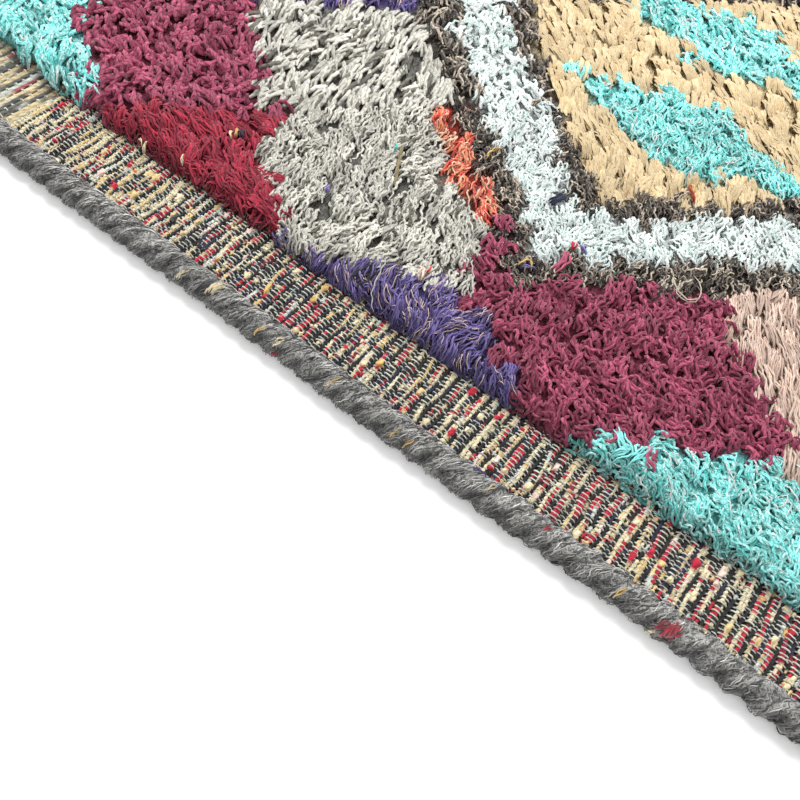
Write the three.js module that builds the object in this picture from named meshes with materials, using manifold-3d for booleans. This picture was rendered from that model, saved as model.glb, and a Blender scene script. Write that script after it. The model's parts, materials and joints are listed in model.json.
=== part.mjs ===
import * as THREE from 'three';
import { mergeVertices } from 'three/addons/utils/BufferGeometryUtils.js';
import Module from 'manifold-3d';

// A small shag rug: a flat-woven ground cloth with turned hems at its two ends, a thick pile
// knotted on its middle, and a wool cord overcast along each of its two long sides.
// Millimetres, +Z up. The origin is on the floor under the middle of the rug. X runs along the
// warps and the overcast sides, and Y runs along the wefts.

const RUG_LENGTH = 900;
const RUG_DEPTH = 600;
const GAP = 0.3;

// Overcast cord along each long side
const CORD_WIDTH = 14.6;
const CORD_HEIGHT = 10.5;
const CORD_SIDES = 10;
const WRAP_PITCH = 12;
const WRAP_RIDGE = 1.1;
const WRAP_LEAN = 5;
const STEPS_PER_WRAP = 2;

// Ground cloth and the hems folded over onto it
const CLOTH_THICKNESS = 3;
const HEM_WIDTH = 14;
const OUTLINE_STEPS = 60;
const FOLD_STEPS = 5;

// Pile, and the flat-woven bands left bare round it
const SIDE_BAND = 35;
const END_BAND = 22;
const PILE_TOP = 14.5;
const PILE_TUFT = 1.1;
const RIM_TOP = 10;
const RIM_SLOPE = 18;
const PILE_CELL = 22;

// Locks that hang over the rim of the pile
const LOCK_PITCH = 9.4;
const LOCK_ROOT = 4;
const LOCK_TIP = 1.6;
const LOCK_SIDES = 3;
const LOCK_STEPS = 2;
const LOCK_INSET = 7;
const LOCK_REACH = 4;
const LOCK_SPREAD = 6;
const LOCK_SWING = 3.5;

// Long, low waves that the sides of a hand-made rug stray by
const SIDE_WAVES = [
  { wavelength: 610, height: 0.9, phase: 0.4 },
  { wavelength: 233, height: 0.5, phase: 2.1 },
];

// Swells of the pile: each row is a wave that crosses the field on a heading in degrees
const PILE_SWELLS = [
  { heading: 58, wavelength: 157, height: 0.9, phase: 0.3 },
  { heading: 148, wavelength: 115, height: 0.8, phase: 1.7 },
  { heading: 41, wavelength: 74, height: 0.8, phase: 4.0 },
  { heading: 276, wavelength: 61, height: 0.7, phase: 2.6 },
  { heading: 8, wavelength: 67, height: 0.6, phase: 5.2 },
];

const COLOURS = {
  cloth: 0xa99c84,
  pile: 0xa8455f,
  cord: 0x6f7072,
};

const wasm = await Module();
wasm.setup();

// An even scatter from 0 to 1, the same each time for the same index and channel
function scatter(index, channel) {
  const wave = Math.sin(index * 12.9898 + channel * 78.233) * 43758.5453;
  return wave - Math.floor(wave);
}

// How far the side of the rug strays outwards at a place along it
function sideStray(x) {
  let stray = 0;
  for (const wave of SIDE_WAVES) {
    stray += wave.height * Math.sin((2 * Math.PI * x) / wave.wavelength + wave.phase);
  }
  return stray;
}

function toSolid(geometry) {
  const bare = geometry.clone();
  bare.deleteAttribute('normal');
  bare.deleteAttribute('uv');
  const welded = mergeVertices(bare, 1e-4);
  return new wasm.Manifold(new wasm.Mesh({
    numProp: 3,
    vertProperties: new Float32Array(welded.attributes.position.array),
    triVerts: new Uint32Array(welded.index.array),
  }));
}

function toGeometry(solid) {
  const mesh = solid.getMesh();
  const geometry = new THREE.BufferGeometry();
  geometry.setAttribute('position', new THREE.BufferAttribute(mesh.vertProperties, 3));
  geometry.setIndex(new THREE.BufferAttribute(mesh.triVerts, 1));
  geometry.computeVertexNormals();
  return geometry;
}

// Moves each point of a geometry to where the function puts it
function reshape(geometry, place) {
  const positions = geometry.attributes.position;
  const point = new THREE.Vector3();
  for (let i = 0; i < positions.count; i += 1) {
    point.fromBufferAttribute(positions, i);
    place(point);
    positions.setXYZ(i, point.x, point.y, point.z);
  }
  geometry.computeVertexNormals();
  return geometry;
}

// The inner line of the cord, where the ground cloth ends, on the side at +Y
function clothEdge(x) {
  return RUG_DEPTH / 2 - CORD_WIDTH - GAP + sideStray(x);
}

// The cloth seen from above: straight ends and straying sides, alike when turned half round
function clothOutline() {
  const outline = new THREE.Shape();
  const half = RUG_LENGTH / 2;
  for (const side of [1, -1]) {
    for (let i = 0; i <= OUTLINE_STEPS; i += 1) {
      const x = side * (half - (RUG_LENGTH * i) / OUTLINE_STEPS);
      const y = side * clothEdge(side * x);
      if (side === 1 && i === 0) {
        outline.moveTo(x, y);
      } else {
        outline.lineTo(x, y);
      }
    }
  }
  outline.closePath();
  return outline;
}

// The cloth seen from its side: one layer, with each end folded up and back over itself
function clothProfile() {
  const profile = new THREE.Shape();
  const half = RUG_LENGTH / 2;
  const fold = CLOTH_THICKNESS;
  profile.moveTo(-half + fold, 0);
  profile.lineTo(half - fold, 0);
  profile.absarc(half - fold, fold, fold, -Math.PI / 2, Math.PI / 2, false);
  profile.lineTo(half - HEM_WIDTH, 2 * fold);
  profile.lineTo(half - HEM_WIDTH, fold);
  profile.lineTo(-half + HEM_WIDTH, fold);
  profile.lineTo(-half + HEM_WIDTH, 2 * fold);
  profile.lineTo(-half + fold, 2 * fold);
  profile.absarc(-half + fold, fold, fold, Math.PI / 2, (3 * Math.PI) / 2, false);
  return profile;
}

function groundCloth() {
  const layers = new THREE.ExtrudeGeometry(clothProfile(), {
    depth: RUG_DEPTH,
    bevelEnabled: false,
    curveSegments: FOLD_STEPS,
  });
  layers.rotateX(Math.PI / 2);
  layers.translate(0, RUG_DEPTH / 2, 0);
  const cut = new THREE.ExtrudeGeometry(clothOutline(), {
    depth: 4 * CLOTH_THICKNESS,
    bevelEnabled: false,
  });
  cut.translate(0, 0, -CLOTH_THICKNESS);
  return toGeometry(toSolid(layers).intersect(toSolid(cut)));
}

// The section of a cord as points across and up from 0 to 1: a loaf shape with a flat foot
function cordSection() {
  const turn = (2 * Math.PI) / CORD_SIDES;
  const points = [];
  for (let i = 0; i < CORD_SIDES; i += 1) {
    const angle = (i + 0.5) * turn - Math.PI / 2;
    points.push(new THREE.Vector2(Math.cos(angle), Math.sin(angle)));
  }
  const box = new THREE.Box2().setFromPoints(points);
  const size = box.getSize(new THREE.Vector2());
  return new THREE.Shape(points.map((point) => point.sub(box.min).divide(size)));
}

// One cord, for the side at +Y, ridged by its wraps
function overcastCord() {
  const steps = STEPS_PER_WRAP * Math.round(RUG_LENGTH / WRAP_PITCH);
  const cord = new THREE.ExtrudeGeometry(cordSection(), { depth: 1, steps, bevelEnabled: false });
  return reshape(cord, (point) => {
    const [across, up, along] = point.toArray();
    const step = Math.round(along * steps);
    const onEnd = step === 0 || step === steps;
    const wrap = Math.floor(step / STEPS_PER_WRAP);
    const valley = step % STEPS_PER_WRAP === 0;
    const ridge = valley ? WRAP_RIDGE * (0.55 + 0.45 * scatter(wrap, 1)) : 0;
    const lean = onEnd ? 0 : WRAP_LEAN * (across - 0.5);
    const x = RUG_LENGTH * (along - 0.5) + lean;
    const inner = RUG_DEPTH / 2 - CORD_WIDTH + sideStray(x);
    const y = inner + across * (CORD_WIDTH - ridge);
    const z = up * (CORD_HEIGHT - ridge * Math.min(1, 2 * up));
    point.set(x, y, z);
  });
}

function pileSwell(x, y) {
  let swell = 0;
  for (const wave of PILE_SWELLS) {
    const heading = THREE.MathUtils.degToRad(wave.heading);
    const travel = x * Math.cos(heading) + y * Math.sin(heading);
    swell += wave.height * Math.sin((2 * Math.PI * travel) / wave.wavelength + wave.phase);
  }
  return swell;
}

const PILE_FLOOR = CLOTH_THICKNESS + GAP;
const PILE_LENGTH = RUG_LENGTH - 2 * (HEM_WIDTH + END_BAND);
const PILE_DEPTH = RUG_DEPTH - 2 * (CORD_WIDTH + SIDE_BAND);

// Height of the pile: full in the field, swelling and sinking, and sloping down at the rim
function pileHeight(x, y, tuft) {
  const fromEnd = PILE_LENGTH / 2 - Math.abs(x);
  const fromSide = PILE_DEPTH / 2 - Math.abs(y);
  const inside = Math.min(1, Math.max(0, Math.min(fromEnd, fromSide)) / RIM_SLOPE);
  const rise = Math.sin((inside * Math.PI) / 2);
  return RIM_TOP + rise * (PILE_TOP - RIM_TOP + pileSwell(x, y) + PILE_TUFT * (2 * tuft - 1));
}

// The slab: a lumpy top over a flat foot, which fans out from its middle to the rim
function pileSlab() {
  const columns = Math.round(PILE_LENGTH / PILE_CELL);
  const rows = Math.round(PILE_DEPTH / PILE_CELL);
  const top = new THREE.PlaneGeometry(PILE_LENGTH, PILE_DEPTH, columns, rows);
  const positions = Array.from(top.attributes.position.array);
  for (let i = 0; i < positions.length; i += 3) {
    positions[i + 2] = pileHeight(positions[i], positions[i + 1], scatter(i, 6));
  }
  const rim = [];
  const across = columns + 1;
  for (let i = 0; i < columns; i += 1) rim.push(i);
  for (let j = 0; j < rows; j += 1) rim.push(j * across + columns);
  for (let i = columns; i > 0; i -= 1) rim.push(rows * across + i);
  for (let j = rows; j > 0; j -= 1) rim.push(j * across);
  const foot = positions.length / 3;
  for (const corner of rim) {
    positions.push(positions[3 * corner], positions[3 * corner + 1], PILE_FLOOR);
  }
  const middle = foot + rim.length;
  positions.push(0, 0, PILE_FLOOR);
  const faces = Array.from(top.index.array);
  rim.forEach((corner, i) => {
    const next = (i + 1) % rim.length;
    faces.push(corner, rim[next], foot + i);
    faces.push(rim[next], foot + next, foot + i);
    faces.push(foot + i, foot + next, middle);
  });
  const slab = new THREE.BufferGeometry();
  slab.setAttribute('position', new THREE.Float32BufferAttribute(positions, 3));
  slab.setIndex(faces);
  return slab;
}

// One lock, from its root in the slab out over the rim and down to the cloth
function lock(root, outward, reach, swing, thickness) {
  const strand = new THREE.CylinderGeometry(
    LOCK_TIP * thickness, LOCK_ROOT * thickness, 1, LOCK_SIDES, LOCK_STEPS,
  );
  const aside = new THREE.Vector3(-outward.y, outward.x, 0);
  const start = RIM_TOP - LOCK_ROOT * thickness;
  const end = PILE_FLOOR + LOCK_TIP * thickness + GAP;
  return reshape(strand, (point) => {
    const along = point.y + 0.5;
    const sideways = point.x + swing * along * along;
    const height = start + (end - start) * along * along - point.z * 0.8;
    const out = (LOCK_INSET + reach) * along - LOCK_INSET - point.z * 0.5 * along;
    const z = Math.max(height, PILE_FLOOR + GAP / 2);
    point.copy(root).addScaledVector(outward, out).addScaledVector(aside, sideways);
    point.z = z;
  });
}

// The four sides of the pile's rim, each with its length and the way it faces
const RIM_SIDES = [
  { length: PILE_LENGTH, away: PILE_DEPTH / 2, facing: new THREE.Vector3(0, -1, 0) },
  { length: PILE_DEPTH, away: PILE_LENGTH / 2, facing: new THREE.Vector3(1, 0, 0) },
  { length: PILE_LENGTH, away: PILE_DEPTH / 2, facing: new THREE.Vector3(0, 1, 0) },
  { length: PILE_DEPTH, away: PILE_LENGTH / 2, facing: new THREE.Vector3(-1, 0, 0) },
];

function pileField() {
  const pieces = [toSolid(pileSlab())];
  let index = 0;
  for (const side of RIM_SIDES) {
    const count = Math.floor(side.length / LOCK_PITCH);
    const aside = new THREE.Vector3(-side.facing.y, side.facing.x, 0);
    for (let i = 0; i < count; i += 1) {
      index += 1;
      const place = (i + 0.5 - count / 2) * (side.length / count);
      const stray = (scatter(index, 2) - 0.5) * LOCK_PITCH * 0.4;
      const root = side.facing.clone().multiplyScalar(side.away);
      root.addScaledVector(aside, place + stray);
      const reach = LOCK_REACH + LOCK_SPREAD * scatter(index, 3);
      const swing = LOCK_SWING * (2 * scatter(index, 4) - 1);
      const thickness = 0.8 + 0.35 * scatter(index, 5);
      pieces.push(toSolid(lock(root, side.facing, reach, swing, thickness)));
    }
  }
  return toGeometry(wasm.Manifold.union(pieces));
}

function wool(colour, roughness) {
  return new THREE.MeshStandardMaterial({ color: colour, roughness, metalness: 0 });
}

function named(name, geometry, material) {
  const mesh = new THREE.Mesh(geometry, material);
  mesh.name = name;
  return mesh;
}

const rug = new THREE.Group();
const cordWool = wool(COLOURS.cord, 0.95);
rug.add(named('ground_cloth', groundCloth(), wool(COLOURS.cloth, 0.9)));
rug.add(named('pile_field', pileField(), wool(COLOURS.pile, 0.95)));

const backCord = named('selvage_back', overcastCord(), cordWool);
rug.add(backCord);

// The front cord is the back one turned half round
const frontCord = named('selvage_front', overcastCord(), cordWool);
frontCord.rotation.z = Math.PI;
rug.add(frontCord);

export default rug;
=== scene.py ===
"""Dresses a small shag rug: tufted pile, flat-woven bands, overcast sides, hems and a plain studio."""
import json
import logging
import math
from dataclasses import dataclass, field, replace
from enum import Enum
from typing import Any, Sequence, Union

import bmesh
import bpy
import numpy as np
from mathutils import Matrix, Vector

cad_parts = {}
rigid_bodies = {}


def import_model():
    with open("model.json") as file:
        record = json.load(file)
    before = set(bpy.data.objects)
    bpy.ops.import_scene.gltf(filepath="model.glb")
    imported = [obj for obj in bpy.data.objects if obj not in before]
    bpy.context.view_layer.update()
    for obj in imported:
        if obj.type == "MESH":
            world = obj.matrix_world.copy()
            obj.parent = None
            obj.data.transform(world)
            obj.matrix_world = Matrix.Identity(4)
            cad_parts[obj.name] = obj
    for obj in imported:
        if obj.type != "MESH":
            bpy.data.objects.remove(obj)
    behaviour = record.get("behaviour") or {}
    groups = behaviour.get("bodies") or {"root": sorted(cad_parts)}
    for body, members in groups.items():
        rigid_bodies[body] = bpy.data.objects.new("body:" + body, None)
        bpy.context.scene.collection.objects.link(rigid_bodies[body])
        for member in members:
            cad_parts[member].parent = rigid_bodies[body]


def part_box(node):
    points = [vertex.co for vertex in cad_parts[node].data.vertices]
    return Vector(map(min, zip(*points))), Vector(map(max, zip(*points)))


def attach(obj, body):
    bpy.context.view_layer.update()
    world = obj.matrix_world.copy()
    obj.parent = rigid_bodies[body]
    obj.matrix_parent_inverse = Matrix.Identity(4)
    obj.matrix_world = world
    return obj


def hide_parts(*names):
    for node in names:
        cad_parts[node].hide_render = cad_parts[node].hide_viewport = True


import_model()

LOG = logging.getLogger("rug")
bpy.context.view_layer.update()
MM = 0.001
TAU = 2.0 * math.pi

# Sizes of the rug in millimetres. Its half length and the cord's height are read from its frame.
_, CLOTH_HIGH = (np.array(corner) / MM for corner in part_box("ground_cloth"))
_, CORD_HIGH = (np.array(corner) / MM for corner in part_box("selvage_front"))
RUG_HALF_LENGTH = float(CLOTH_HIGH[0])
RUG_HALF_DEPTH = 300.0
CORD_WIDTH = 14.6
CORD_HEIGHT = float(CORD_HIGH[2])
CLOTH_TOP = 3.0
HEM_WIDTH = 14.0
PILE_HALF_LENGTH = 414.0
PILE_HALF_DEPTH = 250.4
PILE_TOP = 14.0
RIM_TOP = 9.0
RIM_SLOPE = 16.0
PILE_REST = 4.4
WEFT_PITCH = 5.5
WARP_PITCH = 2.3

# The bare bands in millimetres: from the cord to under the pile, and where the front one is seen near
BAND_OUTER = RUG_HALF_DEPTH - CORD_WIDTH - 0.5
BAND_INNER = PILE_HALF_DEPTH - 6.0
BAND_END = PILE_HALF_LENGTH - 2.0
BAND_TIP = RUG_HALF_LENGTH - 0.5
NEAR_START = -244.0
NEAR_END = 200.0

Array = np.ndarray
Value = Union[float, "Number"]


def linear(red: float, green: float, blue: float) -> tuple[float, float, float]:
    """Turns a colour as a picture shows it into the light that it stands for.

    Args:
        red, green, blue: the colour, each from 0 to 255.

    Returns:
        The same colour in linear light, each from 0 to 1.
    """
    def one(value: float) -> float:
        """Turns one channel into linear light."""
        share = value / 255.0
        return share / 12.92 if share <= 0.04045 else ((share + 0.055) / 1.055) ** 2.4

    return one(red), one(green), one(blue)


class Field:
    """A smooth field of values from -1 to 1 over the rug, the same on each run."""

    SIDE = 512

    def __init__(self, seed: int, cell: float) -> None:
        """Draws the field's lattice.

        Args:
            seed: names the field.
            cell: the lattice's spacing in millimetres.
        """
        self.cell = cell
        self.values = np.random.default_rng(seed).uniform(-1.0, 1.0, (self.SIDE, self.SIDE))

    def __call__(self, x: Array, y: Array) -> Array:
        """Reads the field at places given in millimetres.

        Args:
            x, y: the places.

        Returns:
            The field's value at each place.
        """
        u, v = x / self.cell, y / self.cell
        i, j = np.floor(u).astype(int), np.floor(v).astype(int)
        s, t = u - i, v - j
        s, t = s * s * (3 - 2 * s), t * t * (3 - 2 * t)
        low = self._at(i, j) * (1 - s) + self._at(i + 1, j) * s
        high = self._at(i, j + 1) * (1 - s) + self._at(i + 1, j + 1) * s
        return low * (1 - t) + high * t

    def _at(self, i: Array, j: Array) -> Array:
        """Reads the lattice, which repeats."""
        return self.values[i % self.SIDE, j % self.SIDE]


SWELL = Field(11, 46.0)
TUSSOCK = Field(12, 15.0)
STRAY_WIDE = Field(13, 15.0)
STRAY_FINE = Field(14, 6.0)


def side_stray(x: Array) -> Array:
    """How far the side at +Y strays outwards at a place along it, in millimetres."""
    return 0.9 * np.sin(TAU * x / 610.0 + 0.4) + 0.5 * np.sin(TAU * x / 233.0 + 2.1)


def side_line(x: Array, side: int) -> Array:
    """How far the side of the rug at +Y or -Y strays, seen from above.

    Args:
        x: places along the side.
        side: 1 for the side at +Y and -1 for the one at -Y.

    Returns:
        The stray in millimetres, towards that side.
    """
    return side_stray(side * x)


def pile_surface(x: Array, y: Array) -> Array:
    """The height that the pile lies at: full inside, sloping at the rim and drooping past it.

    Args:
        x, y: the places.

    Returns:
        The heights above the floor, in millimetres.
    """
    inside = np.minimum(PILE_HALF_LENGTH - np.abs(x), PILE_HALF_DEPTH - np.abs(y))
    share = np.clip(inside / RIM_SLOPE, 0.0, 1.0)
    rise = np.sin(share * math.pi / 2)
    lumps = 1.3 * SWELL(x, y) + 1.2 * TUSSOCK(x, y)
    full = RIM_TOP + rise * (PILE_TOP - RIM_TOP + lumps)
    past = np.clip(-inside, 0.0, None)
    return np.maximum(full - 0.75 * past, PILE_REST)


class Tubes:
    """Many yarns gathered into one mesh, each a tube along its own path."""

    UNDER = math.radians(25.0)

    def __init__(self) -> None:
        """Starts with no yarn."""
        self.points: list[Array] = []
        self.corners: list[Array] = []
        self.sizes: list[Array] = []
        self.places: list[Array] = []
        self.dyes: list[Array] = []
        self.count = 0

    def add(
            self, paths: Array, radii: Array, dyes: Array, sides: int,
            flatness: float = 1.0, lying: bool = False, up: Array = np.array([0.0, 0.0, 1.0])) -> None:
        """Adds yarns that have as many points as each other.

        Args:
            paths: their middle lines in millimetres, as yarn by point by axis.
            radii: their radii in millimetres, as yarn by point.
            dyes: their colours, with any painted shade multiplied in, and a number of their own, as yarn by
                4 or yarn by point by 4.
            sides: how many sides a tube has.
            flatness: a tube's height as a share of its width.
            lying: whether only the side that can be seen from above is made.
            up: which way is above, for all or for each point.
        """
        count, steps = radii.shape
        if count == 0:
            return
        columns = sides + 1 if lying else sides
        if lying:
            turns = np.linspace(-self.UNDER, math.pi + self.UNDER, columns)
        else:
            turns = (np.arange(sides) + 0.5) * TAU / sides
        rings = self._rings(paths, radii, turns, flatness, up)
        number = np.arange(count * steps * columns).reshape(count, steps, columns) + self.count
        first = number[:, :, :-1] if lying else number
        after = number[:, :, 1:] if lying else np.roll(number, -1, axis=2)
        walls = np.stack([first[:, :-1], first[:, 1:], after[:, 1:], after[:, :-1]], axis=-1)
        length = np.linalg.norm(np.diff(paths, axis=1), axis=2)
        run = np.concatenate([np.zeros((count, 1)), np.cumsum(length, axis=1)], axis=1)
        start = np.broadcast_to(np.arange(sides) / sides, (count, steps - 1, sides))
        end = start + 1.0 / sides
        low = np.broadcast_to(run[:, :-1, None], start.shape)
        high = np.broadcast_to(run[:, 1:, None], start.shape)
        wall_places = np.stack([
            np.stack([start, low], -1), np.stack([start, high], -1),
            np.stack([end, high], -1), np.stack([end, low], -1)], axis=-2)
        self._faces(walls.reshape(-1, 4), wall_places.reshape(-1, 2))
        if not lying:
            for ring, order, step in ((number[:, 0], 1, 0), (number[:, -1], -1, -1)):
                place = np.stack([
                    np.broadcast_to(np.arange(sides) / sides, (count, sides)),
                    np.broadcast_to(run[:, step, None], (count, sides))], axis=-1)
                self._faces(ring[:, ::order], place[:, ::order].reshape(-1, 2))
        if dyes.ndim == 2:
            dyes = np.broadcast_to(dyes[:, None, :], (count, steps, 4))
        self.dyes.append(np.repeat(dyes.reshape(-1, 4), columns, axis=0))
        self.points.append(rings.reshape(-1, 3))
        self.count += count * steps * columns

    @staticmethod
    def _rings(paths: Array, radii: Array, turns: Array, flatness: float, up: Array) -> Array:
        """Sets a ring of points round each point of each path.

        Args:
            paths: the middle lines in millimetres.
            radii: the radii in millimetres.
            turns: where the points are round a ring, in radians.
            flatness: a ring's height as a share of its width.
            up: which way is above.

        Returns:
            The points, as yarn by point by ring by axis.
        """
        along = np.gradient(paths, axis=1)
        along /= np.linalg.norm(along, axis=2, keepdims=True) + 1e-9
        across = np.cross(along, up)
        lost = np.linalg.norm(across, axis=2, keepdims=True) < 0.05
        across = np.where(lost, np.array([1.0, 0.0, 0.0]), across)
        across /= np.linalg.norm(across, axis=2, keepdims=True)
        upward = np.cross(across, along)
        wide = np.cos(turns)[None, None, :, None] * across[:, :, None, :]
        high = np.sin(turns)[None, None, :, None] * upward[:, :, None, :] * flatness
        return paths[:, :, None, :] + radii[:, :, None, None] * (wide + high)

    def _faces(self, corners: Array, places: Array) -> None:
        """Adds faces that have as many corners as each other.

        Args:
            corners: the numbers of their points, as face by corner.
            places: the UV place of each corner.
        """
        self.sizes.append(np.full(len(corners), corners.shape[1]))
        self.corners.append(corners.reshape(-1))
        self.places.append(places)

    def triangles(self) -> int:
        """Counts the triangles so far."""
        return int(sum((sizes - 2).sum() for sizes in self.sizes))

    def build(self, name: str) -> bpy.types.Object:
        """Makes the mesh, with its UV map and its dye attribute.

        Args:
            name: the piece's name.

        Returns:
            The new object.
        """
        points = np.concatenate(self.points) * MM
        corners = np.concatenate(self.corners)
        sizes = np.concatenate(self.sizes)
        mesh = bpy.data.meshes.new(name)
        mesh.vertices.add(len(points))
        mesh.vertices.foreach_set("co", points.astype(np.float32).ravel())
        mesh.loops.add(len(corners))
        mesh.loops.foreach_set("vertex_index", corners.astype(np.int32))
        mesh.polygons.add(len(sizes))
        starts = np.concatenate([[0], np.cumsum(sizes)[:-1]])
        mesh.polygons.foreach_set("loop_start", starts.astype(np.int32))
        mesh.polygons.foreach_set("use_smooth", np.ones(len(sizes), dtype=bool))
        mesh.update(calc_edges=True)
        layer = mesh.uv_layers.new(name="yarn")
        layer.data.foreach_set("uv", np.concatenate(self.places).astype(np.float32).ravel())
        dye = mesh.color_attributes.new(name="dye", type="FLOAT_COLOR", domain="POINT")
        dye.data.foreach_set("color", np.concatenate(self.dyes).astype(np.float32).ravel())
        mesh.validate()
        LOG.info("%s: %d triangles", name, self.triangles())
        return linked(name, mesh)


def mesh_of(shape: bmesh.types.BMesh, name: str, smooth: bool = True) -> bpy.types.Mesh:
    """Turns a finished shape into a mesh, and frees the shape.

    Args:
        shape: the shape.
        name: the mesh's name.
        smooth: whether its faces are shaded as one smooth surface.

    Returns:
        The mesh.
    """
    mesh = bpy.data.meshes.new(name)
    shape.to_mesh(mesh)
    shape.free()
    for face in mesh.polygons:
        face.use_smooth = smooth
    return mesh


def linked(name: str, mesh: bpy.types.Mesh) -> bpy.types.Object:
    """Puts a mesh into the scene as an object.

    Args:
        name: the piece's name.
        mesh: its mesh.

    Returns:
        The new object.
    """
    piece = bpy.data.objects.new(name, mesh)
    bpy.context.scene.collection.objects.link(piece)
    return piece


def dress(piece: bpy.types.Object, node: str) -> None:
    """Puts a piece on the rug's body in place of a solid of the frame, which it hides.

    Args:
        piece: the piece.
        node: the name of the solid.
    """
    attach(piece, "root")
    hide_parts(node)


class Number:
    """A number in a node tree, so that shader maths reads as an expression."""

    def __init__(self, tree: "Tree", socket: bpy.types.NodeSocket) -> None:
        """Wraps a socket that gives a number."""
        self.tree = tree
        self.socket = socket

    def _with(self, operation: str, first: Value, second: Value = 0.0) -> "Number":
        """Adds a Math node on two values."""
        node = self.tree.node("ShaderNodeMath", {"operation": operation}, {0: first, 1: second})
        return Number(self.tree, node.outputs[0])

    def __add__(self, other: Value) -> "Number":
        """Adds."""
        return self._with("ADD", self, other)

    __radd__ = __add__

    def __sub__(self, other: Value) -> "Number":
        """Subtracts."""
        return self._with("SUBTRACT", self, other)

    def __rsub__(self, other: Value) -> "Number":
        """Subtracts from a value."""
        return self._with("SUBTRACT", other, self)

    def __mul__(self, other: Value) -> "Number":
        """Multiplies."""
        return self._with("MULTIPLY", self, other)

    __rmul__ = __mul__

    def sine(self) -> "Number":
        """The sine of an angle in radians."""
        return self._with("SINE", self)

    def over(self, other: Value) -> "Number":
        """1 where this is greater than the other, and 0 elsewhere."""
        return self._with("GREATER_THAN", self, other)

    def between(self, low: float, high: float) -> "Number":
        """Runs smoothly from 0 to 1.

        Args:
            low: the value up to which it is 0.
            high: the value from which it is 1.

        Returns:
            The new number.
        """
        node = self.tree.node(
            "ShaderNodeMapRange", {"interpolation_type": "SMOOTHSTEP"},
            {"Value": self, "From Min": low, "From Max": high})
        return Number(self.tree, node.outputs[0])


class Tree:
    """A material's nodes."""

    def __init__(self, name: str) -> None:
        """Makes a material with no nodes but its output.

        Args:
            name: the material's name.
        """
        self.material = bpy.data.materials.new(name)
        self.material.use_nodes = True
        self.nodes = self.material.node_tree.nodes
        self.nodes.clear()

    def node(self, kind: str, settings: dict[str, Any], sockets: dict[Any, Any]) -> bpy.types.Node:
        """Adds a node.

        Args:
            kind: its type.
            settings: its own settings, which are set first.
            sockets: a value or a link for each named or numbered input.

        Returns:
            The new node.
        """
        made = self.nodes.new(kind)
        for key, value in settings.items():
            setattr(made, key, value)
        for key, value in sockets.items():
            socket = made.inputs[key]
            if isinstance(value, Number):
                value = value.socket
            if isinstance(value, bpy.types.NodeSocket):
                self.material.node_tree.links.new(value, socket)
            else:
                socket.default_value = value
        return made

    def blend(self, kind: str, factor: Any, first: Any, second: Any) -> bpy.types.NodeSocket:
        """Mixes two colours.

        Args:
            kind: the blend type.
            factor: how much of the blend shows.
            first: the colour underneath.
            second: the colour on top.

        Returns:
            The mixed colour's socket.
        """
        settings = {"data_type": "RGBA", "blend_type": kind, "clamp_factor": True}
        colours = [c if isinstance(c, bpy.types.NodeSocket) else (*c, 1.0) for c in (first, second)]
        made = self.node("ShaderNodeMix", settings, {0: factor, 6: colours[0], 7: colours[1]})
        return made.outputs[2]

    def grey(self, value: Number) -> bpy.types.NodeSocket:
        """Makes a grey colour of a number."""
        return self.node("ShaderNodeCombineColor", {}, {0: value, 1: value, 2: value}).outputs[0]

    def noise(self, place: Any, scale: float, detail: float = 2.0, rough: float = 0.5) -> Number:
        """Adds a noise pattern.

        Args:
            place: the vector that it is read at.
            scale: how fine it is.
            detail: how many octaves it has.
            rough: how strong the finer octaves are.

        Returns:
            The noise, about 0.5.
        """
        sockets = {"Vector": place, "Scale": scale, "Detail": detail, "Roughness": rough}
        return Number(self, self.node("ShaderNodeTexNoise", {}, sockets).outputs[0])

    def axes(self, vector: bpy.types.NodeSocket) -> list[Number]:
        """Splits a vector into its three numbers."""
        made = self.node("ShaderNodeSeparateXYZ", {}, {0: vector})
        return [Number(self, output) for output in made.outputs]

    def vector(self, x: Value, y: Value, z: Value) -> bpy.types.NodeSocket:
        """Joins three numbers into a vector."""
        return self.node("ShaderNodeCombineXYZ", {}, {0: x, 1: y, 2: z}).outputs[0]

    def place(self) -> bpy.types.NodeSocket:
        """The place in the rug, in metres."""
        return self.node("ShaderNodeTexCoord", {}, {}).outputs["Object"]

    def dye(self) -> bpy.types.Node:
        """The dye layer that the mesh carries: a colour, into which some pieces multiply painted shade, and
        a number of the yarn's own.
        """
        return self.node("ShaderNodeAttribute", {"attribute_name": "dye"}, {})

    def shaded(self, colour: Any, share: Number) -> bpy.types.NodeSocket:
        """Darkens a colour to a share of its light."""
        return self.blend("MULTIPLY", 1.0, colour, self.grey(share))

    def finish(
            self, colour: Any, shader: dict[str, Any], height: Number, depth: float) -> bpy.types.Material:
        """Adds the shader and the output.

        Args:
            colour: the base colour's socket.
            shader: the shader's other values.
            height: the relief, from 0 to 1.
            depth: how deep the relief is in metres.

        Returns:
            The material.
        """
        bump = self.node("ShaderNodeBump", {}, {"Height": height, "Distance": depth, "Strength": 1.0})
        sockets = {"Base Color": colour, "Normal": bump.outputs[0], **shader}
        made = self.node("ShaderNodeBsdfPrincipled", {}, sockets)
        self.node("ShaderNodeOutputMaterial", {}, {0: made.outputs[0]})
        return self.material


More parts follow.
